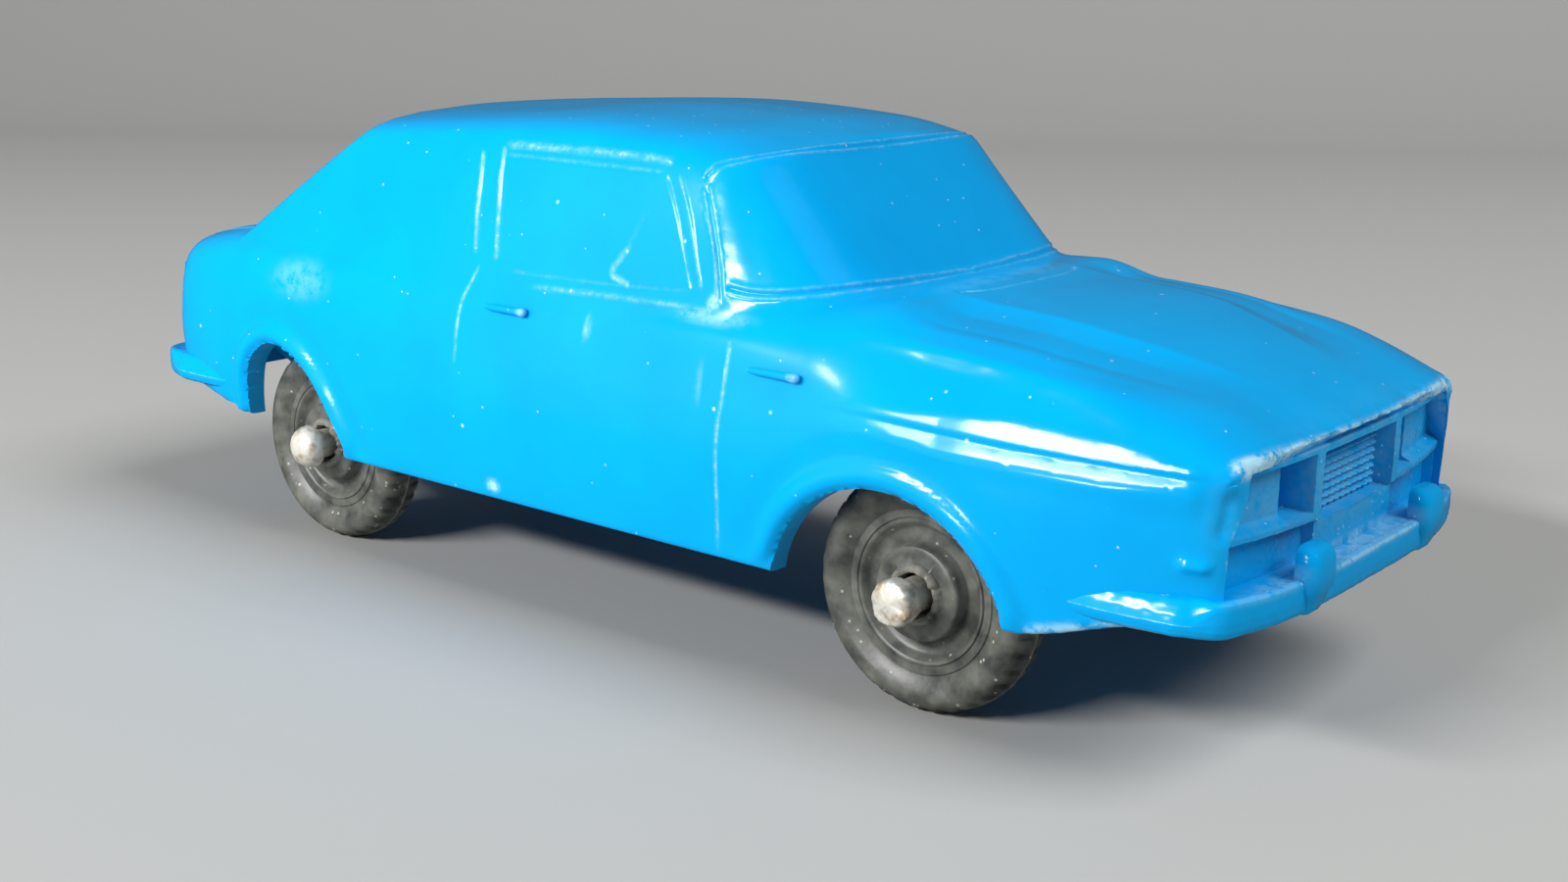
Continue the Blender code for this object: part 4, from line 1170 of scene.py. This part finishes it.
def linear(hex_colour):
    """sRGB hex such as #00a0e0 to the linear colour that a shader takes."""
    parts = [int(hex_colour[i:i + 2], 16) / 255 for i in (1, 3, 5)]
    return tuple(c / 12.92 if c <= 0.04045 else ((c + 0.055) / 1.055) ** 2.4 for c in parts) + (1.0,)


def new_material(name):
    made = bpy.data.materials.new(name)
    made.use_nodes = True
    tree = made.node_tree
    add(tree, "TexCoord", {}, name="Place")
    return made, tree, tree.nodes["Principled BSDF"]


def texture(tree, kind, cells_per_mm, **inputs):
    place = tree.nodes["Place"].outputs["Object"]
    return add(tree, kind, {"Vector": place, "Scale": cells_per_mm * PER_MM, **inputs})


def noise_map(tree, cells_per_mm, detail, roughness=0.5):
    return texture(tree, "TexNoise", cells_per_mm, Detail=detail, Roughness=roughness).outputs["Fac"]


def stored(tree, name):
    """What was measured on the mesh under this name."""
    return add(tree, "Attribute", {}, attribute_name=name).outputs["Fac"]


def maths(tree, operation, a, b, clamp=False):
    return add(tree, "Math", {0: a, 1: b}, operation=operation, use_clamp=clamp).outputs[0]


def remap(tree, value, low, high, to_low=0.0, to_high=1.0):
    ends = {"From Min": low, "From Max": high, "To Min": to_low, "To Max": to_high}
    return add(tree, "MapRange", {"Value": value, **ends}).outputs[0]


def over(tree, under, hex_colour, share):
    """A colour laid over another by a share of 0 to 1."""
    inputs = {"Factor": share, 6: under, 7: linear(hex_colour)}
    return add(tree, "Mix", inputs, data_type="RGBA").outputs[2]


def two_tones(tree, value, *stops):
    """A colour that runs from one tone to another between two values."""
    made = add(tree, "ValToRGB", {"Fac": value})
    for stop, (position, hex_colour) in zip(made.color_ramp.elements, stops):
        stop.position, stop.color = position, linear(hex_colour)
    return made.outputs["Color"]


def dots(tree, cells_per_mm, core, rim, above, channel=0, strength=1.0):
    """Round specks in those cells whose drawn number is above a value."""
    cells = texture(tree, "TexVoronoi", cells_per_mm, Randomness=1.0)
    spot = remap(tree, cells.outputs["Distance"], core, rim, strength, 0.0)
    drawn = add(tree, "SeparateColor", {0: cells.outputs["Color"]}).outputs[channel]
    return maths(tree, "MULTIPLY", spot, maths(tree, "GREATER_THAN", drawn, above))


def bump(tree, height, strength, depth_mm, **inputs):
    settings = {"Height": height, "Strength": strength, "Distance": depth_mm * MM, **inputs}
    return add(tree, "Bump", settings).outputs[0]


# %% [markdown]
# Soft blue vinyl (plasticised PVC), moulded against a smooth steel tool. The eye sees a deep
# colour with a soft gloss, faint flow mottling, pale rubbed edges, a painted highlight along the
# lower edge of each front wing, a thin film of dust in the corners and single specks of lint.
# Plasticised PVC has an index of refraction near 1.53.

# %% Soft blue vinyl
vinyl, tree, shader = new_material("soft_blue_vinyl")
settled = stored(tree, "dusty")
fine = noise_map(tree, 2.6, 4.0, 0.65)
coarse = noise_map(tree, 0.8, 5.0, 0.7)

# mottling: two blues that hardly differ, in clouds of about 7 mm
blues = two_tones(tree, noise_map(tree, 0.14, 3.0), (0.3, "#009ee2"), (0.75, "#00a6ea"))

# film: a dull grey-blue where dust has settled
film = maths(tree, "MULTIPLY", settled, remap(tree, coarse, 0.35, 0.65, 0.05, 0.3))
filmed = over(tree, blues, "#55859e", film)

# pale and broken up: wear on edges and in scuffed patches, as rubbed vinyl is, and a painted highlight on
# each wing's lower edge
broken = maths(tree, "MULTIPLY", remap(tree, fine, 0.4, 0.6, 0.25), remap(tree, coarse, 0.4, 0.6, 0.3))
on_edges = maths(tree, "MULTIPLY", stored(tree, "edge"), broken)
# this reads the rubbed patches and lines, and with them the painted highlight on the wings' lower edges
in_patches = maths(tree, "MULTIPLY", stored(tree, "rubbed_and_highlit"), remap(tree, coarse, 0.36, 0.54))
wear_and_highlight = maths(tree, "MAXIMUM", on_edges, in_patches, clamp=True)
worn = over(tree, filmed, "#c4eefa", maths(tree, "MULTIPLY", wear_and_highlight, 0.8))

# lint: few specks anywhere, and many small ones where dust has settled
lint = dots(tree, 1.6, 0.08, 0.16, remap(tree, settled, 0.0, 1.0, 0.95, 0.4))
specks = maths(tree, "MAXIMUM", dots(tree, 0.42, 0.035, 0.075, 0.86), lint)
linted = over(tree, worn, "#c9e6f2", maths(tree, "MULTIPLY", specks, 0.6))

grain = bump(tree, fine, 0.12, 0.03)
feed(tree, shader, {
    "Base Color": linted, "Roughness": remap(tree, wear_and_highlight, 0.0, 1.0, 0.15, 0.5),
    "IOR": 1.53, "Specular IOR Level": 0.3, "Normal": bump(tree, wear_and_highlight, 0.2, 0.03, Normal=grain),
})
print("vinyl: %d nodes" % len(tree.nodes))

# %% [markdown]
# Black wheel vinyl, stiffer and duller than the body's, with a grey bloom of dust on its raised
# parts. Its roughness is higher, and light dust keeps it from ever looking truly black.

# %% Black wheel vinyl
tyre_vinyl, tree, shader = new_material("black_wheel_vinyl")
bloom = noise_map(tree, 0.5, 6.0, 0.6)
greys = two_tones(tree, bloom, (0.35, "#3c3e3b"), (0.72, "#74756d"))
dusty = over(tree, greys, "#b9b5a8", dots(tree, 1.9, 0.12, 0.24, 0.7, channel=1, strength=0.85))
pale = over(tree, dusty, "#9c988c", maths(tree, "MULTIPLY", stored(tree, "edge"), 0.6))
feed(tree, shader, {
    "Base Color": pale, "Roughness": remap(tree, bloom, 0.0, 1.0, 0.28, 0.46),
    "Normal": bump(tree, noise_map(tree, 3.0, 3.0), 0.25, 0.04),
})
print("wheel vinyl: %d nodes" % len(tree.nodes))

# %% [markdown]
# Bright steel wire, drawn and then upset into heads. Handling has left it a warm grey, with a
# brown tinge in patches.

# %% Bright steel wire
steel, tree, shader = new_material("bright_steel_wire")
tarnish = noise_map(tree, 0.9, 5.0, 0.6)
feed(tree, shader, {
    "Base Color": two_tones(tree, tarnish, (0.34, "#b5a68c"), (0.52, "#f2eee2")), "Metallic": 0.45,
    "Roughness": remap(tree, tarnish, 0.0, 1.0, 0.5, 0.32),
    "Normal": bump(tree, noise_map(tree, 3.5, 2.0), 0.3, 0.05),
})
print("steel: %d nodes" % len(tree.nodes))

# %% [markdown]
# Every piece is now turned into metres, shaded smooth except over its sharp edges, given its
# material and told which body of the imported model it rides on.

# %% Dress the car
SHARP_ANGLE = math.radians(42)


def finish_piece(piece, rides_on, slot, material, *nodes):
    piece.data.transform(Matrix.Scale(MM, 4))
    piece.data.shade_smooth()
    piece.data.set_sharp_from_angle(angle=SHARP_ANGLE)
    piece.data.materials.clear()
    piece.data.materials.append(material)
    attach(piece, rides_on)
    if nodes:
        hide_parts(*nodes)


finish_piece(body, "body", "body_vinyl", vinyl, "body_shell")
for piece in body_pieces[1:]:
    finish_piece(piece, "body", "body_vinyl", vinyl)
for node, piece in wheels.items():
    finish_piece(piece, node, "wheel_vinyl", tyre_vinyl, node)
for node, piece in axles.items():
    finish_piece(piece, node, "axle_steel", steel, node)
print("pieces:", len(body_pieces) + len(wheels) + len(axles))

# %% [markdown]
# The camera stands where the photograph was taken from: in front of the car's right wing, a
# little above it, with the slight roll of a hand-held picture. Its lens is given in image pixels
# and turned into millimetres on a 36 mm sensor.

# %% Camera at the photograph's place
LENS_PIXELS, IMAGE_WIDTH, SENSOR_WIDTH = 1979.83, 1600, 36.0
CAMERA_PLACE = Vector((FRONT_AXLE_X + 65.232, -110.464, 46.348)) * MM
YAW, PITCH, ROLL = 0.6769, 0.2458, 0.0145
forward = Vector((-math.sin(YAW) * math.cos(PITCH), math.cos(YAW) * math.cos(PITCH), -math.sin(PITCH)))
level = Vector((math.cos(YAW), math.sin(YAW), 0.0))
upward = level.cross(forward)
right = math.cos(ROLL) * level + math.sin(ROLL) * upward
up = math.cos(ROLL) * upward - math.sin(ROLL) * level
camera = bpy.data.objects.new("camera", bpy.data.cameras.new("camera"))
bpy.context.scene.collection.objects.link(camera)
camera.data.sensor_width = SENSOR_WIDTH
camera.data.lens = LENS_PIXELS / IMAGE_WIDTH * SENSOR_WIDTH
camera.data.clip_start = 0.005
turn = Matrix((right, up, -forward)).transposed().to_4x4()
camera.matrix_world = Matrix.Translation(CAMERA_PLACE) @ turn
bpy.context.scene.camera = camera
print("lens: %.1f mm" % camera.data.lens)

# %% [markdown]
# The stage is plain: a pale sheet of paper that curves up into its own backdrop. It is hidden
# from reflections, because a bright floor would wash out the car's dark sides.

# %% Pale sheet
HALF_SHEET, BEND_START, BEND_RADIUS, SHEET_TOP = 2000.0, 350.0, 250.0, 900.0
profile = [(-1500.0, 0.0), (BEND_START, 0.0)]
profile += [(BEND_START + BEND_RADIUS * math.sin(a), BEND_RADIUS - BEND_RADIUS * math.cos(a))
            for a in np.linspace(0.05, math.pi / 2, 24)]
profile.append((BEND_START + BEND_RADIUS, SHEET_TOP))
view = Vector((-math.sin(YAW), math.cos(YAW), 0.0))
vertices = []
for ahead, height in profile:
    for side in (-HALF_SHEET, HALF_SHEET):
        vertices.append((*(view * ahead + level * side).xy, height))
faces = [(2 * i, 2 * i + 1, 2 * i + 3, 2 * i + 2) for i in range(len(profile) - 1)]
sheet = new_piece("pale_sheet", vertices, faces)
sheet.data.transform(Matrix.Scale(MM, 4))
sheet.data.shade_smooth()
paper, tree, shader = new_material("pale_paper")
feed(tree, shader, {"Base Color": linear("#bdbdba"), "Roughness": 0.9, "Specular IOR Level": 0.2})
sheet.data.materials.append(paper)
sheet.visible_glossy = False

# %% [markdown]
# Four soft boxes light the car. The window is a long narrow one behind the camera and to its
# left, and it draws the bright lines along roof, belt and wing. The near fill lifts the flank
# from close by, and the front fill lights the hood and the front from above. Neither shows in
# reflections, so the gloss stays the window's. The lip light adds only reflections, which pick
# out the rolled lips of the wheel openings. Near fill and lip light are linked to the car's
# outer pieces, so that they leave the floor alone. A weak even world light keeps the hollows
# from going black.

# %% Soft light
def soft_light(name, towards, distance, size, watts, glossy=True, diffuse=True, only=None):
    """A rectangular soft box that looks at the car from the given direction."""
    data = bpy.data.lights.new(name, "AREA")
    data.shape, data.size, data.size_y, data.energy = "RECTANGLE", size[0], size[1], watts
    lamp = bpy.data.objects.new(name, data)
    bpy.context.scene.collection.objects.link(lamp)
    lamp.location = Vector(towards).normalized() * distance
    lamp.rotation_euler = lamp.location.to_track_quat("Z", "Y").to_euler()
    lamp.visible_glossy, lamp.visible_diffuse = glossy, diffuse
    if only is not None:
        lamp.light_linking.receiver_collection = only


outer_pieces = bpy.data.collections.new("outer_pieces")
for piece in (*body_pieces[:-1], *wheels.values(), *axles.values()):
    outer_pieces.objects.link(piece)
soft_light("window", (-0.19, -0.835, 0.51), 0.60, (0.32, 0.045), 3.0)
soft_light("near_fill", (-0.31, -0.885, 0.36), 0.113, (0.10, 0.08), 0.08, glossy=False, only=outer_pieces)
soft_light("front_fill", (0.62, 0.12, 0.78), 0.90, (0.6, 0.5), 5.9, glossy=False)
soft_light("lip_light", (-0.13, -0.975, 0.18), 0.60, (0.10, 0.05), 0.7, diffuse=False, only=outer_pieces)
world = bpy.data.worlds.new("studio")
world.use_nodes = True
even_light = {"Color": linear("#c2c8cc"), "Strength": 0.13}
feed(world.node_tree, world.node_tree.nodes["Background"], even_light)
bpy.context.scene.world = world
bpy.context.scene.view_settings.view_transform = "Standard"
